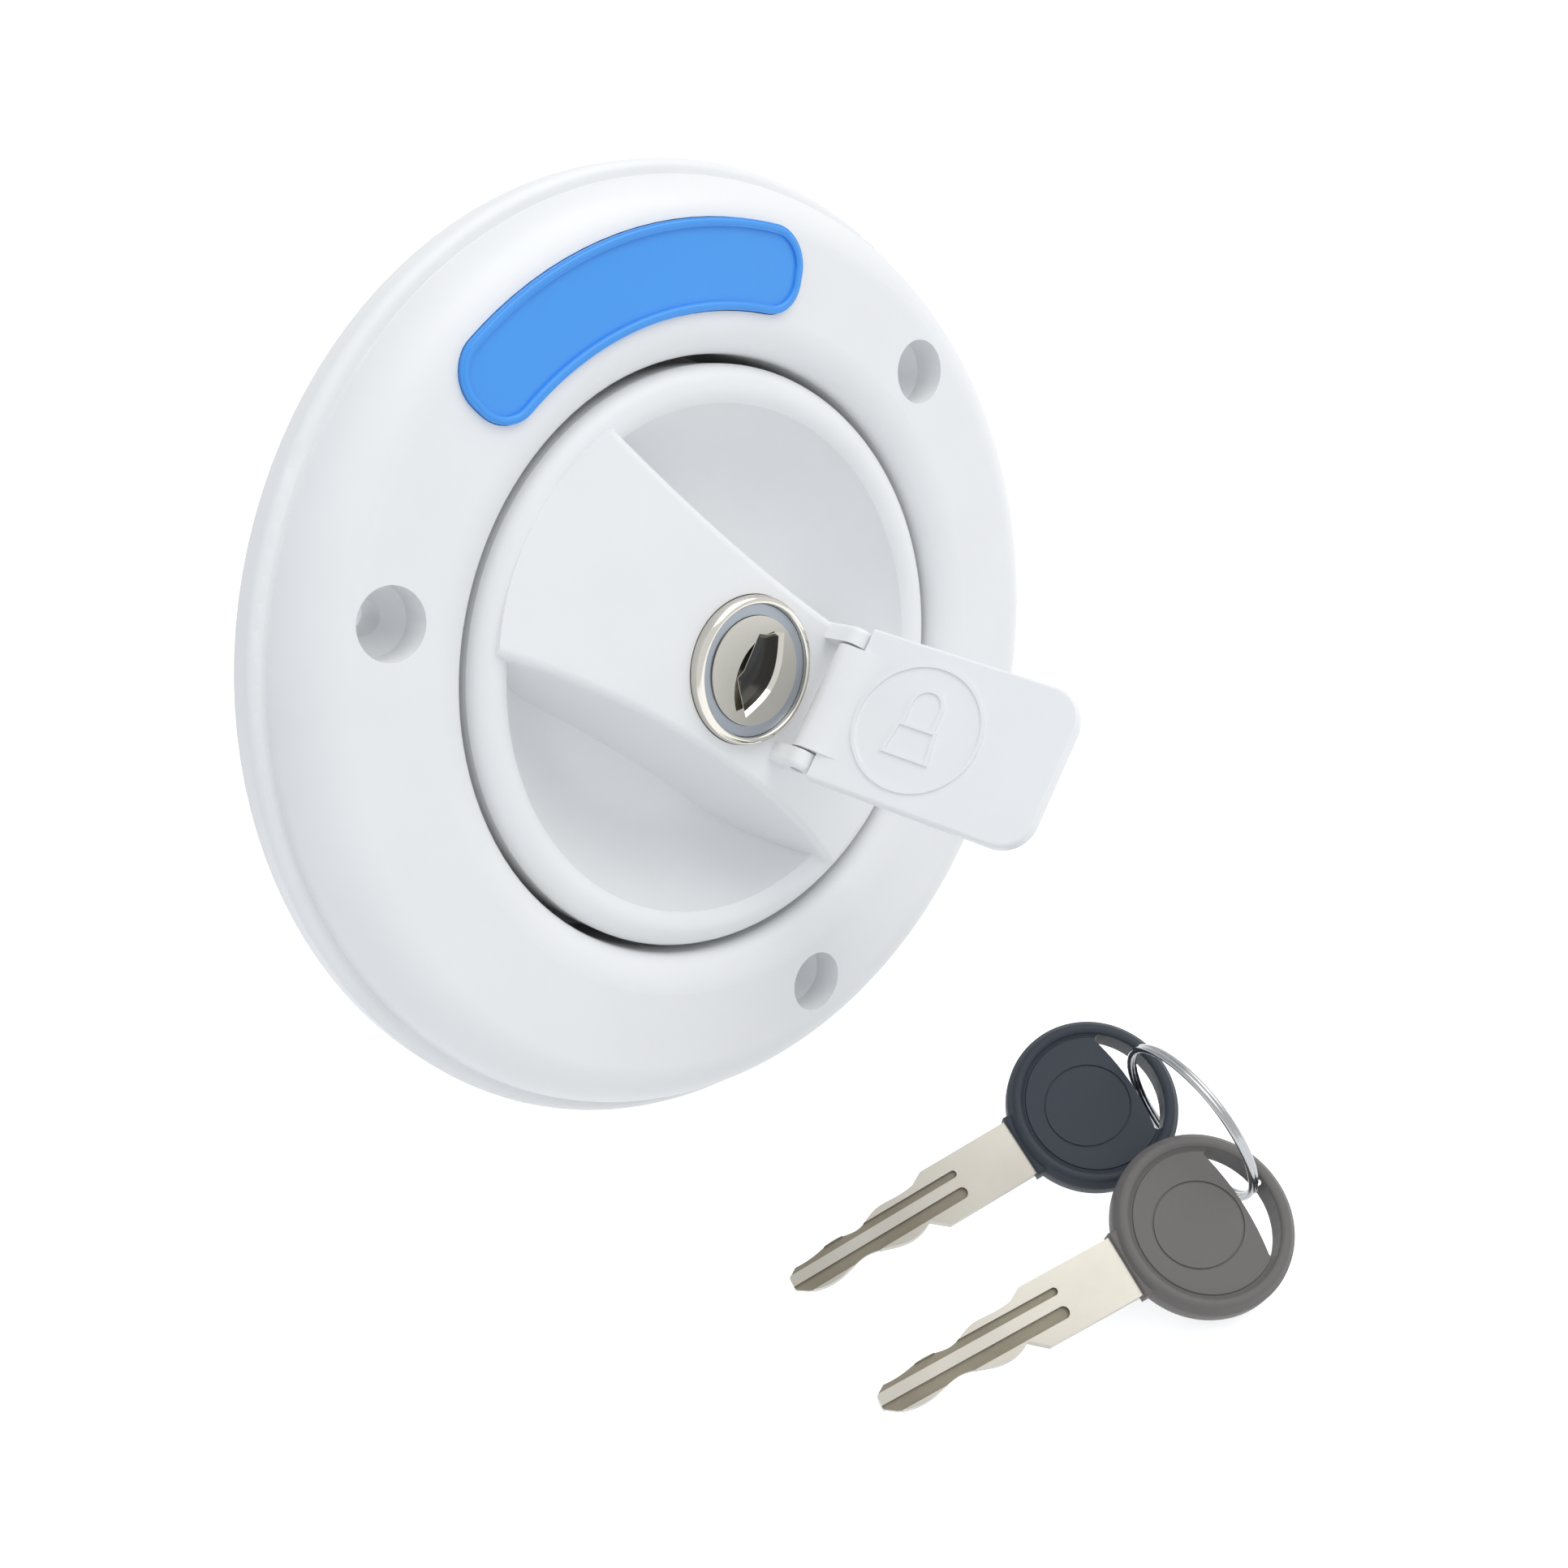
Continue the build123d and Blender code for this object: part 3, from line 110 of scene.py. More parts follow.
@dataclass(frozen=True)
class Finish:
    """One surface finish: colour, gloss and the fine marks in it."""

    name: str
    colour: Colour
    roughness: float
    grain: Grain
    metallic: float = 0.0
    shade: float = 0.03
    mottle_mm: float = 14.0
    grain_mm: float = 0.35
    relief_mm: float = 0.004
    coat: float = 0.0
    specular: float = 0.5

    def material(self) -> Material:
        """Gives the finish's material, and makes it the first time."""
        known = bpy.data.materials.get(self.name)
        return known if known else self._make()

    def _make(self) -> Material:
        """Builds the node tree: mottled colour, uneven gloss and fine relief.

        Returns:
            The new material.
        """
        material = bpy.data.materials.new(self.name)
        material.use_nodes = True
        tree = material.node_tree
        shader = tree.nodes["Principled BSDF"]
        shader.inputs["Metallic"].default_value = self.metallic
        shader.inputs["Coat Weight"].default_value = self.coat
        shader.inputs["Specular IOR Level"].default_value = self.specular
        shader.inputs["Coat Roughness"].default_value = COAT_ROUGHNESS
        place = tree.nodes.new("ShaderNodeTexCoord").outputs["Object"]
        tint = add_node(tree, "ShaderNodeValToRGB", Fac=self._noise(tree, place, self.mottle_mm, 3.0))
        for k, factor in enumerate((1.0 - self.shade, 1.0 + self.shade)):
            tint.color_ramp.elements[k].position = MOTTLE_BAND[k]
            tint.color_ramp.elements[k].color = self._shaded(factor)
        marks = self._marks(tree, place)
        gloss = add_node(tree, "ShaderNodeMapRange", Value=marks)
        gloss.inputs["To Min"].default_value = self.roughness * (1.0 - GLOSS_SPREAD)
        gloss.inputs["To Max"].default_value = self.roughness * (1.0 + GLOSS_SPREAD)
        relief = add_node(tree, "ShaderNodeBump", Height=marks)
        relief.inputs["Strength"].default_value = RELIEF_STRENGTH
        relief.inputs["Distance"].default_value = self.relief_mm * MM
        feed(
            shader,
            Base_Color=tint.outputs["Color"],
            Roughness=gloss.outputs["Result"],
            Normal=relief.outputs["Normal"],
        )
        return material

    def _shaded(self, factor: float) -> tuple[float, float, float, float]:
        """Gives the finish's colour, lighter or darker, with full opacity."""
        red, green, blue = (min(1.0, channel * factor) for channel in self.colour)
        return (red, green, blue, 1.0)

    def _noise(
        self,
        tree: Tree,
        place: Socket,
        size_mm: float,
        detail: float,
        stretch: Point = (1.0, 1.0, 1.0),
    ) -> Socket:
        """Adds a noise of a given spot size on the piece's own coordinates.

        Args:
            tree: The material's node tree.
            place: The piece's own coordinates.
            size_mm: Size of one spot in millimetres.
            detail: Octaves of finer noise.
            stretch: Scale of the coordinates along each axis.

        Returns:
            The noise, from 0 to 1.
        """
        spread = add_node(tree, "ShaderNodeMapping", Vector=place)
        spread.inputs["Scale"].default_value = stretch
        noise = add_node(tree, "ShaderNodeTexNoise", Vector=spread.outputs["Vector"])
        noise.inputs["Scale"].default_value = 1.0 / (size_mm * MM)
        noise.inputs["Detail"].default_value = detail
        return noise.outputs["Fac"]

    def _marks(self, tree: Tree, place: Socket) -> Socket:
        """Adds the fine marks of the finish's grain.

        Args:
            tree: The material's node tree.
            place: The piece's own coordinates.

        Returns:
            The noise that the gloss and the relief read.
        """
        stretches = {Grain.BRUSHED: (0.04, 1.0, 1.0), Grain.POLISHED: (0.2, 1.0, 1.0)}
        details = {Grain.CAST: 6.0, Grain.SOFT: 5.0}
        stretch = stretches.get(self.grain, (1.0, 1.0, 1.0))
        return self._noise(tree, place, self.grain_mm, details.get(self.grain, 2.0), stretch)


WHITE = Finish("moulded_white", (0.835, 0.842, 0.85), 0.42, Grain.MOULDED, shade=0.012, coat=0.05)
INNER = Finish("moulded_inner_white", (0.74, 0.75, 0.755), 0.5, Grain.MOULDED, shade=0.02)
TAIL = Finish("moulded_tail_white", (0.66, 0.67, 0.68), 0.52, Grain.MOULDED, shade=0.02)
BLUE = Finish("moulded_blue", (0.052, 0.315, 0.84), 0.38, Grain.MOULDED, shade=0.02)
FOAM = Finish("closed_cell_foam", (0.03, 0.03, 0.032), 0.95, Grain.SOFT, grain_mm=0.5, relief_mm=0.08)
SEAL = Finish("seal_rubber", (0.018, 0.018, 0.019), 0.6, Grain.SOFT, relief_mm=0.01)
CHROME = Finish("bright_chrome", (0.62, 0.60, 0.55), 0.12, Grain.POLISHED, metallic=1.0)
ZINC = Finish("die_cast_zinc", (0.33, 0.36, 0.40), 0.42, Grain.CAST, metallic=1.0, relief_mm=0.01)
NICKEL = Finish("brushed_nickel", (0.46, 0.445, 0.40), 0.3, Grain.BRUSHED, metallic=1.0)
STEEL = Finish("bright_steel", (0.40, 0.41, 0.42), 0.16, Grain.POLISHED, metallic=1.0)
# Near-black finish of the keyway's leaf: painted shade and dark reflection deep in the keyhole.
KEYWAY_SHADE = Finish("keyway_painted_shade", (0.05, 0.05, 0.05), 0.22, Grain.POLISHED, metallic=1.0)
BLADE_NICKEL = Finish("blade_nickel", (0.385, 0.372, 0.335), 0.3, Grain.BRUSHED, metallic=1.0, shade=0.06)
# Dark tone laid on the blades' groove floors: painted shade in the grooves.
GROOVE_SHADE = Finish("groove_painted_shade", (0.20, 0.185, 0.145), 0.5, Grain.BRUSHED, metallic=1.0, shade=0.12)
BRASS = Finish("stamped_brass", (0.72, 0.52, 0.22), 0.3, Grain.BRUSHED, metallic=1.0)
SLATE = Finish(
    "moulded_slate", (0.034, 0.042, 0.056), 0.5, Grain.MOULDED, relief_mm=0.01, specular=0.25
)
WARM_GREY = replace(SLATE, name="moulded_warm_grey", colour=(0.150, 0.142, 0.137))

SLOT_FINISHES = {
    "white_plastic": WHITE,
    "inner_plastic": INNER,
    "tail_plastic": TAIL,
    "blue_label": BLUE,
    "foam_gasket": FOAM,
    "seal_rubber": SEAL,
    "chrome": CHROME,
    "zinc": ZINC,
    "nickel": NICKEL,
    "steel": STEEL,
    "brass": BRASS,
    "slate_plastic": SLATE,
    "grey_plastic": WARM_GREY,
}


# Surfaces -----------------------------------------------------------------------------------------
class Skin:
    """Points and faces of one surface, in millimetres."""

    def __init__(self) -> None:
        """Starts an empty surface."""
        self.points: list[Point] = []
        self.faces: list[tuple[int, ...]] = []

    def row(self, points: Iterable[Sequence[float]]) -> list[int]:
        """Adds a row of points.

        Args:
            points: The points to add, in order.

        Returns:
            Their indices.
        """
        start = len(self.points)
        self.points.extend((float(x), float(y), float(z)) for x, y, z in points)
        return list(range(start, len(self.points)))

    def bridge(self, low: Sequence[int], high: Sequence[int], closed: bool = True) -> None:
        """Joins two rows of as many points with quads.

        Args:
            low: Indices of the first row.
            high: Indices of the second row.
            closed: Whether the rows are loops.
        """
        count = len(low)
        for k in range(count if closed else count - 1):
            after = (k + 1) % count
            self.faces.append((low[k], low[after], high[after], high[k]))

    def close(self, loop: Sequence[int]) -> None:
        """Closes a flat loop with one face."""
        self.faces.append(tuple(loop))

    def add(self, other: "Skin", place: Matrix | None = None) -> None:
        """Adds another surface, moved if a place is given.

        Args:
            other: The surface to add.
            place: Its place in this one's coordinates.
        """
        shift = len(self.points)
        move = place if place else Matrix.Identity(4)
        self.points.extend(tuple(move @ Vector(point)) for point in other.points)
        self.faces.extend(tuple(k + shift for k in face) for face in other.faces)

    def mesh(self, name: str) -> Mesh:
        """Makes the surface a clean mesh in millimetres, with its faces outwards.

        Args:
            name: Name of the mesh.

        Returns:
            The mesh.
        """
        mesh = bpy.data.meshes.new(name)
        mesh.from_pydata(self.points, [], self.faces)
        work = bmesh.new()
        work.from_mesh(mesh)
        bmesh.ops.remove_doubles(work, verts=work.verts, dist=WELD_MM)
        bmesh.ops.dissolve_degenerate(work, edges=work.edges, dist=SLIVER_MM)
        bmesh.ops.recalc_face_normals(work, faces=work.faces)
        work.to_mesh(mesh)
        work.free()
        return mesh

    def piece(self, name: str, finish: Finish, place: Matrix, crease_deg: float = 40.0) -> Thing:
        """Makes the surface a finished mesh object at the origin.

        Args:
            name: Name of the piece.
            finish: Its finish.
            place: Turns and scales it into the shared frame.
            crease_deg: Edges sharper than this stay crisp.

        Returns:
            The new object.
        """
        mesh = self.mesh(name)
        mesh.transform(place)
        return finish_piece(mesh, name, finish, crease_deg)


def linked(name: str, data: bpy.types.ID) -> Thing:
    """Puts a mesh, lamp or camera in the scene as an object at the origin."""
    made = bpy.data.objects.new(name, data)
    bpy.context.scene.collection.objects.link(made)
    return made


def finish_piece(mesh: Mesh, name: str, finish: Finish, crease_deg: float = 40.0) -> Thing:
    """Links a mesh as a piece, shaded smooth between its crisp edges.

    Args:
        mesh: The finished mesh, in the shared frame.
        name: Name of the piece.
        finish: Its finish.
        crease_deg: Edges sharper than this stay crisp.

    Returns:
        The new object.
    """
    mesh.shade_smooth()
    mesh.set_sharp_from_angle(angle=math.radians(crease_deg))
    mesh.materials.clear()
    mesh.materials.append(finish.material())
    return linked(name, mesh)


@dataclass(frozen=True)
class Corner:
    """Corner of an outline, with the radius that rounds it."""

    x: float
    y: float
    radius: float = 0.0


def rounded(corners: Sequence[Corner], closed: bool, steps: int = 6) -> list[Flat]:
    """Rounds each corner of an outline with an arc.

    Args:
        corners: The outline's corners, in order.
        closed: Whether the last corner joins the first.
        steps: Pieces of each arc.

    Returns:
        The points of the rounded outline.
    """
    points: list[Flat] = []
    count = len(corners)
    for k, corner in enumerate(corners):
        here = Vector((corner.x, corner.y))
        if corner.radius <= 0 or (not closed and k in (0, count - 1)):
            points.append((corner.x, corner.y))
            continue
        before = Vector((corners[k - 1].x, corners[k - 1].y))
        after = Vector((corners[(k + 1) % count].x, corners[(k + 1) % count].y))
        inward = (before - here).normalized()
        outward = (after - here).normalized()
        half = math.acos(max(-1.0, min(1.0, inward.dot(outward)))) / 2
        reach = corner.radius / math.tan(half)
        centre = here + (inward + outward).normalized() * (corner.radius / math.sin(half))
        first = here + inward * reach - centre
        turn = -(first.angle_signed(here + outward * reach - centre))
        for step in range(steps + 1):
            point = centre + Matrix.Rotation(turn * step / steps, 2) @ first
            points.append((point.x, point.y))
    return points


def lathe(profile: Sequence[Flat], segments: int = 128, closed: bool = True) -> Skin:
    """Turns a (radius, height) profile about the axis.

    Args:
        profile: The profile's points, in order.
        segments: Steps round the axis.
        closed: Whether the profile's last point joins its first.

    Returns:
        The turned surface.
    """
    skin = Skin()
    angles = [math.tau * k / segments for k in range(segments)]
    rows = [
        skin.row((radius * math.cos(a), radius * math.sin(a), height) for a in angles)
        for radius, height in profile
    ]
    for low, high in zip(rows, rows[1:] + (rows[:1] if closed else [])):
        skin.bridge(low, high)
    return skin


def rectangle(width: float, height: float) -> list[Flat]:
    """Gives a centred rectangle's corners, anticlockwise."""
    x, y = width / 2, height / 2
    return [(-x, -y), (x, -y), (x, y), (-x, y)]


def inset(outline: Sequence[Flat], depth: float) -> list[Flat]:
    """Moves a closed outline inwards by a depth, along its corner normals.

    Args:
        outline: Points in anticlockwise order.
        depth: Distance to move, in millimetres.

    Returns:
        The moved points.
    """
    moved = []
    count = len(outline)
    for k, (x, y) in enumerate(outline):
        before = Vector(outline[k - 1])
        after = Vector(outline[(k + 1) % count])
        here = Vector((x, y))
        first = (here - before).normalized()
        second = (after - here).normalized()
        normal = Vector((-first.y - second.y, first.x + second.x)).normalized()
        stretch = 1.0 / max(0.4, normal.dot(Vector((-first.y, first.x))))
        moved.append((x + normal.x * depth * stretch, y + normal.y * depth * stretch))
    return moved


def slab(outline: Sequence[Flat], low: float, high: float, edge: float, steps: int = 4) -> Skin:
    """Makes a plate of an outline with rounded rims.

    Args:
        outline: Points in anticlockwise order.
        low: Height of its lower face.
        high: Height of its upper face.
        edge: Radius of both rims.
        steps: Pieces of each rim's arc.

    Returns:
        The closed plate.
    """
    skin = Skin()
    turns = [math.pi / 2 * k / steps for k in range(steps + 1)]
    rows = []
    for level, way, arc in ((low, 1, turns), (high, -1, turns[::-1])):
        for turn in arc:
            z = level + way * edge * (1 - math.cos(turn))
            rows.append(skin.row((x, y, z) for x, y in inset(outline, edge * (1 - math.sin(turn)))))
    for below, above in zip(rows, rows[1:]):
        skin.bridge(below, above)
    skin.close(rows[0])
    skin.close(rows[-1])
    return skin


def baked(carrier: Thing) -> Mesh:
    """Keeps what an object's modifiers show as a plain mesh, and removes the object.

    Args:
        carrier: The object with its modifiers.

    Returns:
        The plain mesh.
    """
    seen = carrier.evaluated_get(bpy.context.evaluated_depsgraph_get())
    mesh = bpy.data.meshes.new_from_object(seen)
    bpy.data.objects.remove(carrier)
    return mesh


def axes(x: Sequence[float], y: Sequence[float], z: Sequence[float]) -> Matrix:
    """Gives the turn that takes the X, Y and Z directions to three given ones."""
    return Matrix((x, y, z)).transposed().to_4x4()


def carved(mesh: Mesh, cut: Skin) -> Mesh:
    """Cuts a closed surface out of a closed mesh, both in millimetres.

    Args:
        mesh: The mesh to cut.
        cut: The closed surface to take away.

    Returns:
        The mesh that is left.
    """
    body = linked("carved_body", mesh)
    tool = linked("carving_tool", cut.mesh("carving_tool"))
    modifier = body.modifiers.new("cut", "BOOLEAN")
    modifier.operation = "DIFFERENCE"
    modifier.solver = "EXACT"
    modifier.object = tool
    result = baked(body)
    bpy.data.objects.remove(tool)
    return result


# Repeated pieces ----------------------------------------------------------------------------------
class Recipe:
    """A Geometry Nodes tree with named sizes, whose result becomes a plain mesh."""

    def __init__(self, name: str, sizes: Sequence[str]) -> None:
        """Starts a tree that has a geometry input and one number for each size.

        Args:
            name: Name of the tree.
            sizes: Names of its numbers.
        """
        self.tree = bpy.data.node_groups.new(name, "GeometryNodeTree")
        face = self.tree.interface
        face.new_socket("Geometry", in_out="INPUT", socket_type="NodeSocketGeometry")
        for size in sizes:
            face.new_socket(size, in_out="INPUT", socket_type="NodeSocketFloat")
        face.new_socket("Geometry", in_out="OUTPUT", socket_type="NodeSocketGeometry")
        self.given = self.tree.nodes.new("NodeGroupInput")

    def node(self, kind: str, **links: Socket) -> Node:
        """Adds a node to this tree and joins its named inputs."""
        return add_node(self.tree, kind, **links)

    def size(self, label: str) -> Socket:
        """Gives the socket of a named size."""
        return self.given.outputs[label]

    def tube(self, path: Socket, sides: int, capped: bool) -> Socket:
        """Lays a round wire along a curve, with the size Wire Radius.

        Args:
            path: The curve.
            sides: Flat sides of the round wire.
            capped: Whether the wire's ends are closed.

        Returns:
            The wire's mesh.
        """
        wire = self.node("GeometryNodeCurvePrimitiveCircle", Radius=self.size("Wire Radius"))
        wire.inputs["Resolution"].default_value = sides
        tube = self.node(
            "GeometryNodeCurveToMesh", Curve=path, Profile_Curve=wire.outputs["Curve"]
        )
        tube.inputs["Fill Caps"].default_value = capped
        return tube.outputs["Mesh"]

    def copies(self, model: Socket, **links: Socket) -> Socket:
        """Sets a copy of a model on every point that the tree is given.

        Args:
            model: The geometry to copy.
            links: Sockets for the copies' Rotation or Scale.

        Returns:
            The copies.
        """
        points = self.given.outputs["Geometry"]
        made = self.node("GeometryNodeInstanceOnPoints", Points=points, Instance=model, **links)
        return made.outputs["Instances"]

    def end(self, result: Socket, finish: Finish) -> None:
        """Ends the tree by making real geometry and giving it its finish.

        Args:
            result: The geometry to hand out.
            finish: Finish of the whole result.
        """
        real = self.node("GeometryNodeRealizeInstances", Geometry=result)
        dressed = self.node("GeometryNodeSetMaterial", Geometry=real.outputs["Geometry"])
        dressed.inputs["Material"].default_value = finish.material()
        self.node("NodeGroupOutput", Geometry=dressed.outputs["Geometry"])

    def bake(
        self,
        name: str,
        base: Mesh,
        sizes: dict[str, float],
        finish: Finish,
        place: Matrix,
    ) -> Thing:
        """Runs the tree on a base mesh and keeps the result as a piece.

        Args:
            name: Name of the piece.
            base: Mesh that the tree starts from, in millimetres.
            sizes: Value of each named size.
            finish: Finish of the piece.
            place: Turns and scales it into the shared frame.

        Returns:
            The finished piece.
        """
        carrier = linked(name + "_base", base)
        modifier = carrier.modifiers.new("recipe", "NODES")
        modifier.node_group = self.tree
        for socket in self.tree.interface.items_tree:
            if socket.in_out == "INPUT" and socket.name in sizes:
                modifier[socket.identifier] = float(sizes[socket.name])
        mesh = baked(carrier)
        mesh.transform(place)
        return finish_piece(mesh, name, finish)


def base_mesh(name: str, points: Sequence[Point], loop: bool = False) -> Mesh:
    """Makes a mesh of points, joined in a loop if asked.

    Args:
        name: Name of the mesh.
        points: Its points, in millimetres.
        loop: Whether edges join them in a closed loop.

    Returns:
        The mesh.
    """
    count = len(points)
    edges = [(k, (k + 1) % count) for k in range(count)] if loop else []
    mesh = bpy.data.meshes.new(name)
    mesh.from_pydata(list(points), edges, [])
    return mesh


def bead_recipe(finish: Finish) -> Recipe:
    """Gives the tree that lays a round bead along a loop of edges.

    Args:
        finish: Finish of the bead.

    Returns:
        The tree, with the size Wire Radius.
    """
    recipe = Recipe("bead_along_outline", ["Wire Radius"])
    path = recipe.node("GeometryNodeMeshToCurve", Mesh=recipe.given.outputs["Geometry"])
    recipe.end(recipe.tube(path.outputs["Curve"], sides=16, capped=False), finish)
    return recipe


def coil_recipe(finish: Finish) -> Recipe:
    """Gives the tree that sets a wire coil, wound about Z, on every point.

    Args:
        finish: Finish of the wire.

    Returns:
        The tree, with sizes Coil Radius, Wire Radius, Turns, Length and Lean.
    """
    recipe = Recipe("wire_coils", ["Coil Radius", "Wire Radius", "Turns", "Length", "Lean"])
    wind = recipe.node(
        "GeometryNodeCurveSpiral",
        Rotations=recipe.size("Turns"),
        Start_Radius=recipe.size("Coil Radius"),
        End_Radius=recipe.size("Coil Radius"),
        Height=recipe.size("Length"),
    )
    wind.inputs["Resolution"].default_value = 48
    coil = recipe.tube(wind.outputs["Curve"], sides=12, capped=True)
    lean = recipe.node("ShaderNodeCombineXYZ", X=recipe.size("Lean"))
    recipe.end(recipe.copies(coil, Rotation=lean.outputs["Vector"]), finish)
    return recipe


@dataclass(frozen=True)
class Coil:
    """Sizes of a wound wire, in millimetres and whole or part turns."""

    radius: float
    wire: float
    turns: float
    length: float
    lean_deg: float = 0.0

    def wound(self, node: str, starts: Sequence[Point], place: Matrix) -> Thing:
        """Winds bright steel wire from each of some points.

        Args:
            node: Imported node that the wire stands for.
            starts: Where each coil starts.
            place: Turns and scales the coils into the shared frame.

        Returns:
            The finished piece, with all coils in it.
        """
        sizes = {
            "Coil Radius": self.radius,
            "Wire Radius": self.wire,
            "Turns": self.turns,
            "Length": self.length,
            "Lean": math.radians(self.lean_deg),
        }
        base = base_mesh(node + "_starts", starts)
        return coil_recipe(STEEL).bake(node + "_wound", base, sizes, STEEL, place)


def screw_recipe(finish: Finish, pattern: Thing) -> Recipe:
    """Gives the tree that sets a copy of one screw on every point.

    Args:
        finish: Finish of the screws.
        pattern: Object that holds one screw, with its seat at the origin.

    Returns:
        The tree, with the size Scale.
    """
    recipe = Recipe("screws_in_place", ["Scale"])
    model = recipe.tree.nodes.new("GeometryNodeObjectInfo")
    model.inputs["Object"].default_value = pattern
    recipe.end(recipe.copies(model.outputs["Geometry"], Scale=recipe.size("Scale")), finish)
    return recipe


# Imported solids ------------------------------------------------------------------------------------
def solid_boxes(node: str) -> list[tuple[Vector, Vector]]:
    """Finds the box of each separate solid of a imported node.

    Args:
        node: Name of the node.

    Returns:
        Lowest and highest corners in millimetres, on the cap's own axes, sorted.
    """
    work = bmesh.new()
    work.from_mesh(frame["nodes"][node].data)
    bmesh.ops.remove_doubles(work, verts=work.verts, dist=MERGE_MM * MM)
    waiting = set(work.verts)
    back = ON_CAP.inverted()
    boxes = []
    while waiting:
        found = {waiting.pop()}
        edge = set(found)
        while edge:
            edge = {e.other_vert(v) for v in edge for e in v.link_edges} - found
            found |= edge
        waiting -= found
        points = [back @ v.co for v in found]
        low = Vector([min(p[k] for p in points) for k in range(3)])
        high = Vector([max(p[k] for p in points) for k in range(3)])
        boxes.append((low, high))
    work.free()
    return sorted(boxes, key=lambda box: tuple(round(c, 3) for c in box[0]))


def merged_copy(node: str) -> Mesh:
    """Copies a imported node's mesh, closed and in millimetres on the cap's own axes.

    Args:
        node: Name of the node.

    Returns:
        The copy.
    """
    mesh = frame["nodes"][node].data.copy()
    work = bmesh.new()
    work.from_mesh(mesh)
    work.transform(ON_CAP.inverted())
    bmesh.ops.remove_doubles(work, verts=work.verts, dist=MERGE_MM)
    work.to_mesh(mesh)
    work.free()
    old_normals = mesh.attributes.get("custom_normal")
    if old_normals:
        mesh.attributes.remove(old_normals)
    return mesh


def dress(node: str, finish: Finish) -> None:
    """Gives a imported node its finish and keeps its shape.

    Args:
        node: Name of the node.
        finish: Its finish.
    """
    mesh = frame["nodes"][node].data
    mesh.materials.clear()
    mesh.materials.append(finish.material())
    LOG.info("dressed %s in %s", node, finish.name)


@dataclass
class Assembly:
    """Base of the sub-assemblies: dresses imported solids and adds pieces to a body."""

    made: list[str] = field(default_factory=list, init=False)

    def dress_solids(self, names: Sequence[str]) -> None:
        """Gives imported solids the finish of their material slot.

        Args:
            names: The nodes to dress.
        """
        slots = {part["node"]: part["material_slot"] for part in frame["record"]["subparts"]}
        for name in names:
            dress(name, SLOT_FINISHES[slots[name]])

    def put(self, piece: Thing, body: str, slot: str, *nodes: str) -> None:
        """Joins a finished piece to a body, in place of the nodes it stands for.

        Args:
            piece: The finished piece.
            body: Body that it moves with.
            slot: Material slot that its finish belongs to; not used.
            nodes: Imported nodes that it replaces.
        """
        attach(piece, body)
        if nodes:
            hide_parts(*nodes)
        self.made.append(piece.name)
        LOG.info("built %s on %s", piece.name, body)


@dataclass
class WallFlange(Assembly):
    """Flange on the wall, its front trim, the foam gasket and the blue label."""

    label_inner: float = 46.2
    label_outer: float = 57.4
    label_half_deg: float = 30.5
    label_corner: float = 5.0
    label_top: float = 11.55
    bead_radius: float = 0.5
    bead_inset: float = 0.56

    def build(self) -> None:
        """Dresses the flange's solids and lays the label's rounded bead."""
        self.dress_solids(["filler_base", "front_trim", "wall_gasket", "label_insert"])
        outline = base_mesh("label_outline", self._outline(), loop=True)
        bead = bead_recipe(BLUE).bake(
            "label_bead", outline, {"Wire Radius": self.bead_radius}, BLUE, UPRIGHT
        )
        self.put(bead, "housing", "blue_label")

    def _outline(self, steps: int = 40) -> list[Point]:
        """Gives the middle line of the label's bead, as a closed loop.

        Args:
            steps: Pieces of each long arc.

        Returns:
            The loop's points.
        """
        corner = self.label_corner - self.bead_inset
        half = math.radians(self.label_half_deg) - self.bead_inset / self.label_outer
        outer = self.label_outer - self.bead_inset
        inner = self.label_inner + self.bead_inset
        outer_end = half - math.asin(corner / (outer - corner))
        inner_end = half - math.asin(corner / (inner + corner))
        turns = [outer_end * (1 - 2 * k / steps) for k in range(steps + 1)]
        points = [self._at(outer, turn) for turn in turns]
        points += self._bend(outer - corner, -outer_end, 0, -90)
        points += self._bend(inner + corner, -inner_end, -90, -180)
        points += [self._at(inner, -turn * inner_end / outer_end) for turn in turns]
        points += self._bend(inner + corner, inner_end, 180, 90)
        points += self._bend(outer - corner, outer_end, 90, 0)
        return points

    def _bend(self, radius: float, turn: float, first: float, last: float) -> list[Point]:
        """Gives the points of one corner of the bead.

        Args:
            radius: Distance of the corner's centre from the axis.
            turn: Angle of that centre from +Y.
            first: Direction in degrees where the corner starts, from straight outwards.
            last: Direction in degrees where it ends.

        Returns:
            The corner's points.
        """
        x, y, z = self._at(radius, turn)
        size, steps = self.label_corner - self.bead_inset, 9
        points = []
        for k in range(1, steps):
            angle = math.radians(first + (last - first) * k / steps)
            out, along = size * math.cos(angle), size * math.sin(angle)
            along_x, along_y = -math.cos(turn) * along, -math.sin(turn) * along
            points.append((x - out * math.sin(turn) + along_x, y + out * math.cos(turn) + along_y, z))
        return points

    def _at(self, radius: float, turn: float) -> Point:
        """Gives the point at a radius and an angle from +Y, on the label's top."""
        return (-radius * math.sin(turn), radius * math.cos(turn), self.label_top)


@dataclass
class NeckAndTails(Assembly):
    """Hose spigot and vent nipple behind the wall."""

    def build(self) -> None:
        """Dresses the tails."""
        self.dress_solids(["hose_tail", "vent_nipple"])


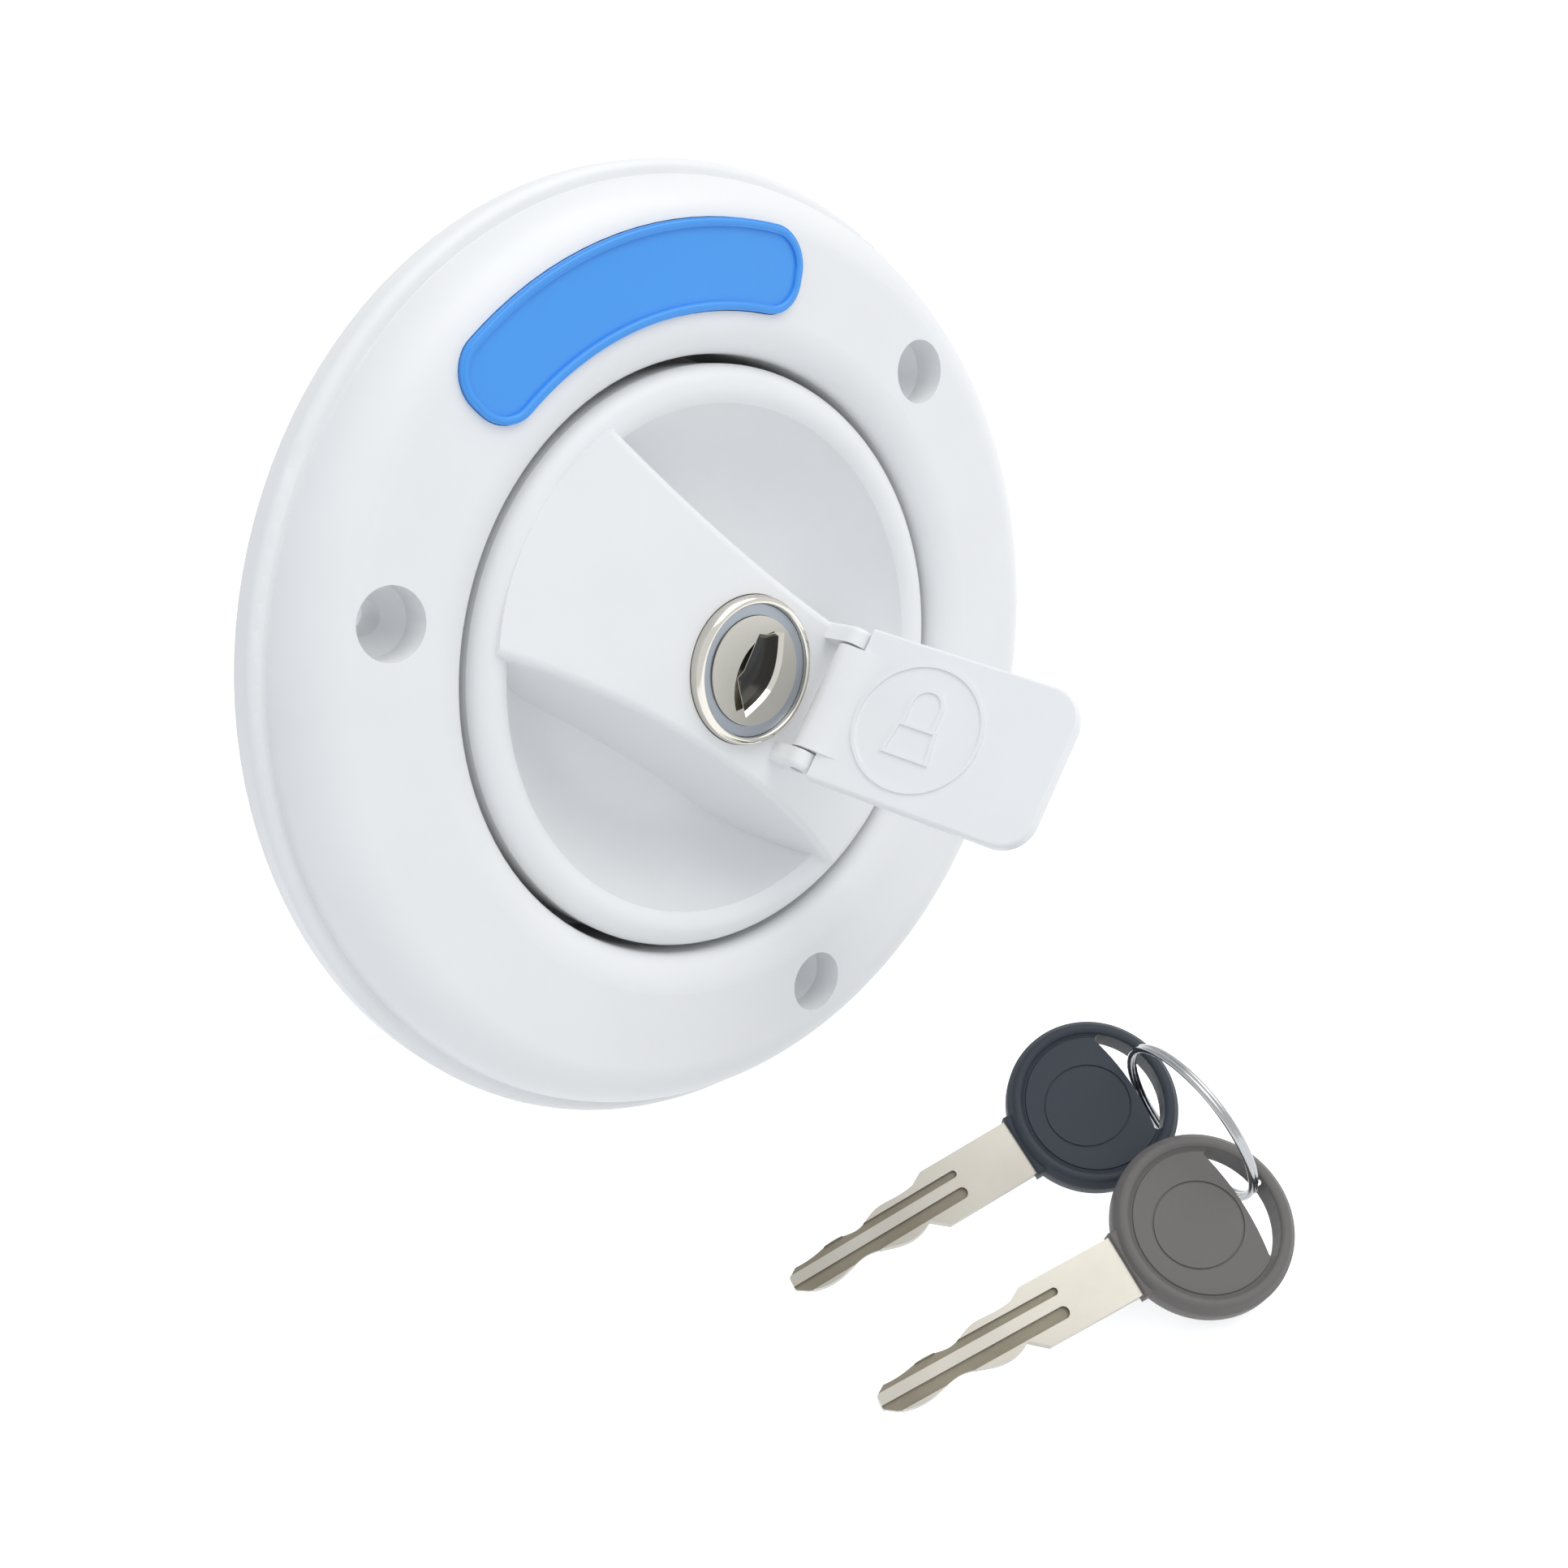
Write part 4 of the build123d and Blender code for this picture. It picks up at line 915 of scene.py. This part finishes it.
@dataclass
class Cap(Assembly):
    """Bayonet cap: shell, core, seal, bottom cover and their screws."""

    head_over_radius: float = 1.4
    head_section: tuple[Flat, ...] = ((0, 1), (0.72, 1), (0.9, 0.86), (0.99, 0.55), (1, 0.1), (0.98, 0))
    thread_start: float = 0.25
    thread_pitch: float = 0.35
    thread_root: float = 0.8
    point_long: float = 1.2
    point_wide: float = 0.1
    recess_share: float = 0.63
    recess_long: float = 2.2
    recess_wide: float = 0.6

    def build(self) -> None:
        """Dresses the cap's solids and sets its screws."""
        self.dress_solids(["cap_shell", "cap_core", "core_cover", "cap_seal"])
        for node in ("cap_screws", "cover_screws"):
            self._screws(node)

    def _screws(self, node: str) -> None:
        """Sets pan-head screws with a cross recess where a node's solids are.

        Args:
            node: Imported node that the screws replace.
        """
        boxes = solid_boxes(node)
        low, high = boxes[0]
        radius = (high.x - low.x) / 4
        head = self.head_over_radius * radius
        pattern = self._pattern(node, radius, head, high.z - low.z - head)
        seats = [((a.x + b.x) / 2, (a.y + b.y) / 2, a.z + head) for a, b in boxes]
        recipe = screw_recipe(STEEL, pattern)
        piece = recipe.bake(
            node + "_recessed", base_mesh(node + "_seats", seats), {"Scale": 1.0}, STEEL, ON_CAP
        )
        bpy.data.objects.remove(pattern)
        self.put(piece, "cap", "steel", node)

    def _pattern(self, node: str, radius: float, head: float, length: float) -> Thing:
        """Turns one screw and sinks a cross into its head.

        Args:
            node: Name to build the object's name from.
            radius: Radius over the thread.
            head: Height of the head.
            length: Length of the shaft.

        Returns:
            Object that holds the screw, seat at the origin and shaft upwards.
        """
        profile = [(2 * radius * out, -head * up) for out, up in self.head_section]
        root, height = radius * self.thread_root, self.thread_start
        while height < length - radius * self.point_long:
            profile += [(root, height), (radius, height + self.thread_pitch / 2)]
            height += self.thread_pitch
        profile += [(root, height), (radius * self.point_wide, length), (0.0, length)]
        mesh = lathe(profile, 24, closed=False).mesh(node + "_pattern")
        bar = rectangle(radius * self.recess_long, radius * self.recess_wide)
        floor = head * (self.recess_share - 1)
        for turn in (0.0, 90.0):
            cut = Skin()
            arm = slab(bar, -head - CUT_PAST, floor, 0.05, steps=1)
            cut.add(arm, Matrix.Rotation(math.radians(turn), 4, "Z"))
            mesh = carved(mesh, cut)
        return linked(node + "_pattern", mesh)


@dataclass
class Lock(Assembly):
    """Key lock in the cap's bar, with the cam and the bolt behind it."""

    bezel_outer: float = 10.1
    bezel_inner: float = 8.95
    bezel_low: float = 14.0
    bezel_high: float = 16.2
    bezel_roll: float = 0.95
    lip_roll: float = 0.3
    mouth_side: tuple[Flat, ...] = (
        (-2.3, 4.5), (-2.07, 2.25), (-1.88, -0.9), (-2.3, -2.3), (-0.805, -3.68)
    )
    mouth_tip: Flat = (2.0, -6.1)
    mouth_peak: Flat = (1.7, 6.75)
    mouth_top: tuple[Flat, ...] = ((0.34, 6.075), (-0.805, 5.13))
    mouth_bulge: float = 2.3
    mouth_floor: float = 13.55
    face_z: float = 15.7
    lip_rise: float = 0.03
    lip_flat: float = 0.08
    bevel: float = 0.55
    leaf_under: float = 0.02
    leaf_rises: Point = (0.12, 0.75, 0.27)
    leaf_left: tuple[Flat, ...] = ((-2.3, 4.8), (-1.7, -0.6), (-2.3, -2.5), (1.1, -5.7))
    leaf_ridge: tuple[Flat, ...] = ((0.0, 5.8), (0.5, 1.2), (-0.2, -1.9), (1.7, -5.6))
    leaf_right: tuple[Flat, ...] = ((1.8, 6.45), (4.1, 2.2), (3.6, -1.6), (2.3, -5.5))
    wire_share: float = 0.22
    turn_gap: float = 2.6

    def build(self) -> None:
        """Dresses the lock's solids and builds its face and springs."""
        self.dress_solids(
            ["lock_barrel", "lock_nut", "wafers", "shutter_pin", "locking_cam", "cam_screw"]
            + ["lock_bolt", "key_shutter"]
        )
        self._bezel()
        self._plug()
        self._springs("wafer_springs", "wafer_set", turns=7.0)
        self._springs("shutter_spring", "plug", turns=5.0)

    def _bezel(self) -> None:
        """Turns the bright rounded ring round the lock's face."""
        corners = [
            Corner(self.bezel_inner, self.bezel_low),
            Corner(self.bezel_outer, self.bezel_low),
            Corner(self.bezel_outer, self.bezel_high, self.bezel_roll),
            Corner(self.bezel_inner, self.bezel_high, self.lip_roll),
        ]
        ring = lathe(rounded(corners, closed=True, steps=10), 160)
        self.put(ring.piece("bezel_ring", CHROME, ON_CAP), "cap", "chrome", "lock_bezel")

    def _mouth(self, steps: int = 14) -> list[Flat]:
        """Gives the shield-shaped outline of the keyhole, anticlockwise.

        Args:
            steps: Pieces of the bulging side.

        Returns:
            The outline's points.
        """
        (x, y), (peak_x, peak_y) = self.mouth_tip, self.mouth_peak
        bulge = []
        for k in range(1, steps):
            share = k / steps
            out = self.mouth_bulge * math.sin(math.pi * share)
            bulge.append((x + (peak_x - x) * share + out, y + (peak_y - y) * share))
        return [*self.mouth_side, self.mouth_tip, *bulge, self.mouth_peak, *self.mouth_top]

    def _plug(self) -> None:
        """Opens the plug's face to the shield-shaped mouth and lines it with bright steel."""
        mouth = self._mouth()
        cut = slab(mouth, self.mouth_floor, self.face_z + CUT_PAST, 0.02, steps=1)
        mesh = carved(merged_copy("lock_plug"), cut)
        mesh.transform(ON_CAP)
        self.put(finish_piece(mesh, "plug_body", NICKEL, 30.0), "plug", "nickel", "lock_plug")
        lining = Skin()
        top, floor = self.face_z + self.lip_rise, self.mouth_floor + self.lip_rise
        depths = [(0.0, top), (self.lip_flat, top), (self.bevel, self.face_z - self.bevel)]
        depths += [(self.bevel + self.lip_flat, floor), (0.0, floor)]
        rim = [lining.row((x, y, z) for x, y in inset(mouth, depth)) for depth, z in depths]
        for low, high in zip(rim, rim[1:] + rim[:1]):
            lining.bridge(low, high)
        piece = lining.piece("keyhole_lining", CHROME, ON_CAP, crease_deg=20.0)
        self.put(piece, "plug", "chrome")
        self._leaf()

    def _leaf(self) -> None:
        """Folds the spring leaf that closes the keyway under its mouth, near-black as painted shade for the
        keyway's depths.
        """
        leaf = Skin()
        top = zip((self.leaf_left, self.leaf_ridge, self.leaf_right), self.leaf_rises)
        under = [(self.leaf_right, self.leaf_under), (self.leaf_left, self.leaf_under)]
        rows = [
            leaf.row((x, y, self.mouth_floor + rise) for x, y in side) for side, rise in [*top, *under]
        ]
        for first, second in zip(rows, rows[1:] + rows[:1]):
            leaf.bridge(first, second, closed=False)
        leaf.close([row[0] for row in rows])
        leaf.close([row[-1] for row in reversed(rows)])
        # The leaf's near-black finish is painted shade for the dark depths of the keyway.
        piece = leaf.piece("keyway_leaf", KEYWAY_SHADE, ON_CAP, crease_deg=10.0)
        self.put(piece, "plug", "chrome")

    def _springs(self, node: str, body: str, turns: float) -> None:
        """Winds a wire spring where each solid of a node is.

        Args:
            node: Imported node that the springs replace.
            body: Body that they move with.
            turns: Turns of each spring.
        """
        boxes = solid_boxes(node)
        low, high = boxes[0]
        radius = (high.z - low.z) / 2
        wire = min(radius * self.wire_share, (high.y - low.y) / turns / self.turn_gap)
        starts = [((a.x + b.x) / 2, b.y - wire, (a.z + b.z) / 2) for a, b in boxes]
        coil = Coil(radius - wire, wire, turns, high.y - low.y - 2 * wire, lean_deg=90.0)
        piece = coil.wound(node, starts, ON_CAP)
        self.put(piece, body, "steel", node)


@dataclass
class DustFlap(Assembly):
    """Hinged cover over the lock, with its pin."""

    hinge: Point = (12.1, 2.1, 18.2)
    lean_deg: float = 20.0
    root_half: float = 7.75
    root_high: float = 5.6
    root_proud: float = 2.03
    root_back: float = 0.4
    root_clear: float = 0.02
    leaf_half: float = 1.2

    def build(self) -> None:
        """Dresses the flap and its pin, and fairs its root over the hinge."""
        self.dress_solids(["dust_flap", "flap_pin"])
        self._root()

    def _root(self) -> None:
        """Fairs the flap's inner face down over its knuckle with a soft curve."""
        steps = 10
        side = []
        for k in range(steps + 1):
            share = k / steps
            fall = (1 + math.cos(math.pi * share)) / 2
            proud = self.leaf_half + self.root_clear + (self.root_proud - self.leaf_half) * fall
            side.append((-proud, self.root_high * share))
        side += [(-self.root_back, self.root_high), (-self.root_back, 0.0)]
        root = Skin()
        ends = [root.row((x, y, z) for x, z in side) for y in (-self.root_half, self.root_half)]
        root.bridge(*ends)
        for end in ends:
            root.close(end)
        turn = Matrix.Rotation(math.radians(self.lean_deg), 4, "Y")
        place = ON_CAP @ Matrix.Translation(self.hinge) @ turn
        self.put(root.piece("flap_root", WHITE, place), "flap", "white_plastic")


@dataclass
class KeySet(Assembly):
    """Two keys on a split ring."""

    bow_radius: float = 12.5
    bow_half: float = 3.0
    face_drop: float = 0.8
    rim_inner: float = 10.35
    rim_wide: float = 1.5
    rim_lip: float = 0.05
    wall_bevel: float = 0.12
    wall_edge: float = 0.7
    wall_drop: float = 0.5
    rim_foot: float = 0.1
    rim_proud: float = 0.45
    step_line: float = 0.3
    step_depth: float = 0.22
    badge: Flat = (6.5, 6.0)
    badge_ahead: float = 1.0
    badge_line: float = 0.3
    badge_depth: float = 0.2
    slot_chords: Flat = (6.4, 6.1)
    slot_flare: float = 1.0
    slot_end: float = 1.1
    slot_round: float = 0.55
    shoulder: Flat = (9.5, 12.5)
    shoulder_side: float = 0.45
    shoulder_half: float = 1.9
    shoulder_round: float = 0.35
    pivot_back: float = 8.25
    tip_corner: float = 0.3
    floor_under: float = 0.1
    floor_skin: float = 0.02
    ring_radius: float = 12.4
    wire_radius: float = 0.5
    turns: float = 2.08
    ring_gap: float = 1.04

    def build(self) -> None:
        """Dresses the blades, builds the bows and winds the split ring."""
        for key in ("key_a", "key_b"):
            dress(key + "_blade", BLADE_NICKEL)
            self._groove_floors(key)
        self._bow("key_a", SLATE, "slate_plastic", self.slot_chords[0])
        self._bow("key_b", WARM_GREY, "grey_plastic", self.slot_chords[1])
        self._ring()

    def _bow_place(self, key: str) -> Matrix:
        """Finds a key's bow: X towards the blade's tip, Z out of its face.

        Args:
            key: Name of the key's body.

        Returns:
            The place that takes millimetres on the bow to the shared frame.
        """
        joints = frame["record"]["behaviour"]["joints"]
        swing = next(joint for joint in joints if joint["child"] == key)
        face, pivot = self._face_of(key + "_bow", Vector(swing["axis"])), Vector(swing["pos_m"])
        blade = [v.co - pivot for v in frame["nodes"][key + "_blade"].data.vertices]
        far = max(blade, key=lambda p: p.length).normalized()
        reach = max(p.dot(far) for p in blade)
        end = [p for p in blade if p.dot(far) > reach - self.tip_corner * MM]
        ahead = sum(end, Vector()) / len(end)
        along = (ahead - face * ahead.dot(face)).normalized()
        turn = axes(along, face.cross(along), face)
        centre = pivot + along * self.pivot_back * MM
        return Matrix.Translation(centre) @ turn @ Matrix.Scale(MM, 4)

    def _face_of(self, node: str, near: Vector) -> Vector:
        """Finds which way a flat node faces.

        Args:
            node: Name of the node.
            near: Rough direction of the wanted face.

        Returns:
            Normal of its widest flat face on that side.
        """
        areas: dict[tuple[float, ...], float] = {}
        for face in frame["nodes"][node].data.polygons:
            if face.normal.dot(near) > SIDE_COS:
                key = tuple(round(c, 3) for c in face.normal)
                areas[key] = areas.get(key, 0.0) + face.area
        return Vector(max(areas, key=areas.get)).normalized()

    def _bow_profile(self) -> list[Flat]:
        """Gives the half section of a bow: flat face, step line, rounded rim and side wall."""
        face = self.bow_half - self.face_drop
        line = self.rim_inner - 2 * self.step_line
        top = [(0.0, face), (line, face), (line + self.step_line / 2, face - self.step_depth)]
        top += [(line + self.step_line, face - self.step_depth), (self.rim_inner, face + self.rim_lip)]
        steps = 8
        middle = self.rim_inner + self.rim_wide / 2
        for k in range(steps + 1):
            turn = math.pi * (1 - k / steps)
            x = middle + self.rim_wide / 2 * math.cos(turn)
            top.append((x, face + self.rim_foot + self.rim_proud * math.sin(turn)))
        shoulder = face - self.wall_drop
        top += [(self.bow_radius - self.wall_bevel, shoulder), (self.bow_radius, shoulder - self.wall_edge)]
        return top + [(radius, -height) for radius, height in reversed(top)]

    def _bow_slot(self, chord: float) -> Skin:
        """Gives the tool that cuts the ring's slot between the badge and the rim.

        Args:
            chord: Distance of the slot's inner edge from the bow's centre.

        Returns:
            The closed cutting surface.
        """
        reach = self.rim_inner
        ends = -(chord - self.slot_flare + self.slot_end)
        half = math.sqrt(reach**2 - ends**2)
        steps = 12
        arc = math.asin(half / reach)
        inner, outer = [], []
        for k in range(steps + 1):
            along, end = 1 - 2 * k / steps, k in (0, steps)
            y, turn = half * along, math.pi + arc * along
            x = -chord + self.slot_flare * (y / half) ** 2
            inner.append(Corner(x, y, self.slot_round if end else 0.0))
            x = ends if end else reach * math.cos(turn)
            outer.append(Corner(x, reach * math.sin(turn), self.slot_round / 2 if end else 0.0))
        outline = rounded(inner + outer, closed=True, steps=5)
        return slab(outline[::-1], -self.bow_half - CUT_PAST, self.bow_half + CUT_PAST, 0.05, steps=1)

    def _bow(self, key: str, finish: Finish, slot: str, chord: float) -> None:
        """Turns one bow, engraves its badge line and cuts its slot.

        Args:
            key: Name of the key's body.
            finish: Finish of the plastic.
            slot: Material slot of the plastic.
            chord: Distance of the ring slot's inner edge from the bow's centre.
        """
        place = self._bow_place(key)
        mesh = lathe(self._bow_profile(), 144, closed=False).mesh(key + "_bow_body")
        mesh = carved(mesh, self._bow_slot(chord))
        face = self.bow_half - self.face_drop
        long, wide = self.badge
        low, high = face - self.badge_depth, self.bow_half + CUT_PAST
        for side in (0.0, 180.0):
            line = [(long - self.badge_line, high), (long, high), (long, low)]
            line.append((long - self.badge_line, low))
            ring = Skin()
            flip = Matrix.Rotation(math.radians(side), 4, "X")
            shift = Matrix.Translation((self.badge_ahead, 0.0, 0.0))
            oval = Matrix.Diagonal((1.0, wide / long, 1.0, 1.0))
            ring.add(lathe(line, 96), flip @ shift @ oval)
            mesh = carved(mesh, ring)
        mesh.transform(place)
        self.put(finish_piece(mesh, key + "_bow_moulded", finish, 32.0), key, slot, key + "_bow")
        self._shoulder(key, finish, slot, place)

    def _shoulder(self, key: str, finish: Finish, slot: str, place: Matrix) -> None:
        """Adds the shoulder that the blade comes out of.

        Args:
            key: Name of the key's body.
            finish: Finish of the plastic.
            slot: Material slot of the plastic.
            place: Place of the bow.
        """
        back = place.inverted()
        root = [back @ v.co for v in frame["nodes"][key + "_blade"].data.vertices]
        near, far = self.shoulder
        wide = max(abs(p.y) for p in root if near < p.x < far + 1) + self.shoulder_side
        outline = [(near, -wide), (far, -wide), (far, wide), (near, wide)]
        block = slab(outline, -self.shoulder_half, self.shoulder_half, self.shoulder_round)
        self.put(block.piece(key + "_shoulder", finish, place), key, slot)

    def _groove_floors(self, key: str) -> None:
        """Lays dark sheets on the floors of a blade's grooves, as painted shade in the grooves.

        Args:
            key: Name of the key's body.
        """
        place = self._bow_place(key)
        work = bmesh.new()
        work.from_mesh(frame["nodes"][key + "_blade"].data)
        work.transform(place.inverted())
        bmesh.ops.remove_doubles(work, verts=work.verts, dist=MERGE_MM)
        work.normal_update()
        top = max(v.co.z for v in work.verts)
        others = [
            face
            for face in work.faces
            if abs(face.normal.z) < FLAT_COS or abs(face.calc_center_median().z) > top - self.floor_under
        ]
        bmesh.ops.delete(work, geom=others, context="FACES")
        bmesh.ops.solidify(work, geom=work.faces[:], thickness=-self.floor_skin)
        bmesh.ops.recalc_face_normals(work, faces=work.faces)
        mesh = bpy.data.meshes.new(key + "_groove_floors")
        work.to_mesh(mesh)
        work.free()
        mesh.transform(place)
        # These dark sheets are painted shade in the grooves.
        self.put(finish_piece(mesh, key + "_groove_floors", GROOVE_SHADE, 30.0), key, "nickel")

    def _ring(self) -> None:
        """Winds the split ring where its solid is."""
        points = [v.co / MM for v in frame["nodes"]["split_ring"].data.vertices]
        centre = sum(points, Vector()) / len(points)
        far = max(points, key=lambda p: (p - centre).length) - centre
        side = max(points, key=lambda p: far.cross(p - centre).length) - centre
        axis = far.cross(side).normalized()
        along = (far - axis * far.dot(axis)).normalized()
        turn = axes(along, axis.cross(along), axis)
        place = Matrix.Scale(MM, 4) @ Matrix.Translation(centre) @ turn
        rise = 2 * self.wire_radius * self.ring_gap
        coil = Coil(self.ring_radius, self.wire_radius, self.turns, rise)
        ring = coil.wound("split_ring", [(0.0, 0.0, -rise / 2)], place)
        self.put(ring, "housing", "steel", "split_ring")


# Studio -------------------------------------------------------------------------------------------
@dataclass
class Studio:
    """Pale floor, soft lamps and the camera."""

    lens_mm: float = 37.722
    sensor_mm: float = 36.0
    nearest: float = 0.005
    stand: Point = (-0.12209, -0.17793, 0.08189)
    right: Point = (0.7088, -0.6693, -0.2228)
    up: Point = (0.4536, 0.1906, 0.8706)
    back: Point = (-0.5402, -0.7181, 0.4387)
    floor_z: float = -0.095
    floor_half: float = 3.0
    floor_glow: float = 0.62
    sky: Colour = (0.74, 0.77, 0.81)
    sky_strength: float = 0.76
    lamp_spot: Point = (0.42, -0.48, 0.88)
    lamp_size: float = 1.0
    lamp_watts: float = 6.4
    fill_spot: Point = (-0.6, -0.3, 0.7)
    fill_size: float = 0.5
    fill_watts: float = 1.1

    def build(self) -> None:
        """Sets the floor, the sky, the lamps and the camera."""
        self._floor()
        self._sky()
        self._lamp("key_lamp", self.lamp_spot, self.lamp_size, self.lamp_watts, (1.0, 0.985, 0.96))
        fill = self._lamp("fill_lamp", self.fill_spot, self.fill_size, self.fill_watts, (1.0, 1.0, 1.0))
        fill.visible_glossy = False
        self._camera()
        bpy.context.scene.view_settings.view_transform = "Standard"

    def _floor(self) -> None:
        """Lays a pale floor that shows white to the camera and keeps the soft shadow."""
        skin = Skin()
        wide, z = 2 * self.floor_half / MM, self.floor_z / MM
        skin.close(skin.row((x, y, z) for x, y in rectangle(wide, wide)))
        finish = Finish("studio_floor", (0.92, 0.92, 0.92), 0.9, Grain.SOFT, shade=0.002)
        floor = skin.piece("floor", finish, Matrix.Scale(MM, 4))
        tree = finish.material().node_tree
        plain = tree.nodes["Principled BSDF"].outputs["BSDF"]
        glow = tree.nodes.new("ShaderNodeEmission")
        glow.inputs["Strength"].default_value = self.floor_glow
        add = tree.nodes.new("ShaderNodeAddShader")
        tree.links.new(plain, add.inputs[0])
        tree.links.new(glow.outputs["Emission"], add.inputs[1])
        show_apart(tree, plain, add.outputs["Shader"])

    def _sky(self) -> None:
        """Lights from all round, and shows plain white behind the object."""
        world = bpy.data.worlds.new("sky")
        bpy.context.scene.world = world
        world.use_nodes = True
        tree = world.node_tree
        soft = tree.nodes["Background"]
        soft.inputs["Color"].default_value = (*self.sky, 1.0)
        soft.inputs["Strength"].default_value = self.sky_strength
        white = tree.nodes.new("ShaderNodeBackground")
        white.inputs["Color"].default_value = (1.0, 1.0, 1.0, 1.0)
        show_apart(tree, soft.outputs["Background"], white.outputs["Background"])

    def _lamp(self, name: str, spot: Point, size: float, watts: float, tint: Colour) -> Thing:
        """Hangs a soft square lamp that faces the object.

        Args:
            name: Name of the lamp.
            spot: Where it hangs, in metres.
            size: Side of its square, in metres.
            watts: Its power.
            tint: Its colour.

        Returns:
            The lamp.
        """
        data = bpy.data.lights.new(name, "AREA")
        data.size = size
        data.energy = watts
        data.color = tint
        lamp = linked(name, data)
        lamp.location = spot
        lamp.rotation_euler = Vector(spot).to_track_quat("Z", "Y").to_euler()
        return lamp

    def _camera(self) -> None:
        """Stands the camera to the left of the object, a little above it."""
        data = bpy.data.cameras.new("camera")
        data.lens = self.lens_mm
        data.sensor_width = self.sensor_mm
        data.clip_start = self.nearest
        camera = linked("camera", data)
        camera.matrix_world = Matrix.Translation(self.stand) @ axes(self.right, self.up, self.back)
        bpy.context.scene.camera = camera


def show_apart(tree: Tree, plain: Socket, seen: Socket) -> None:
    """Ends a tree with one shader for direct and mirrored sight and one for soft light.

    Args:
        tree: Node tree of a material or world.
        plain: Shader that soft light meets.
        seen: Shader for camera, glossy and transmission rays.
    """
    rays = tree.nodes.new("ShaderNodeLightPath")
    share = rays.outputs["Is Camera Ray"]
    for label in ("Is Glossy Ray", "Is Transmission Ray"):
        larger = tree.nodes.new("ShaderNodeMath")
        larger.operation = "MAXIMUM"
        tree.links.new(share, larger.inputs[0])
        tree.links.new(rays.outputs[label], larger.inputs[1])
        share = larger.outputs["Value"]
    mix = add_node(tree, "ShaderNodeMixShader", Fac=share)
    tree.links.new(plain, mix.inputs[1])
    tree.links.new(seen, mix.inputs[2])
    out = next(node for node in tree.nodes if node.type.startswith("OUTPUT"))
    feed(out, Surface=mix.outputs["Shader"])


def main() -> None:
    """Builds the sub-assemblies and the studio, and logs how many pieces each one made."""
    logging.basicConfig(level=logging.INFO, format="%(message)s")
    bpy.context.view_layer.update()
    assemblies = [WallFlange(), NeckAndTails(), Cap(), Lock(), DustFlap(), KeySet()]
    for assembly in assemblies:
        assembly.build()
        LOG.info("%s: %d pieces", type(assembly).__name__, len(assembly.made))
    Studio().build()


if __name__ == "__main__":
    main()
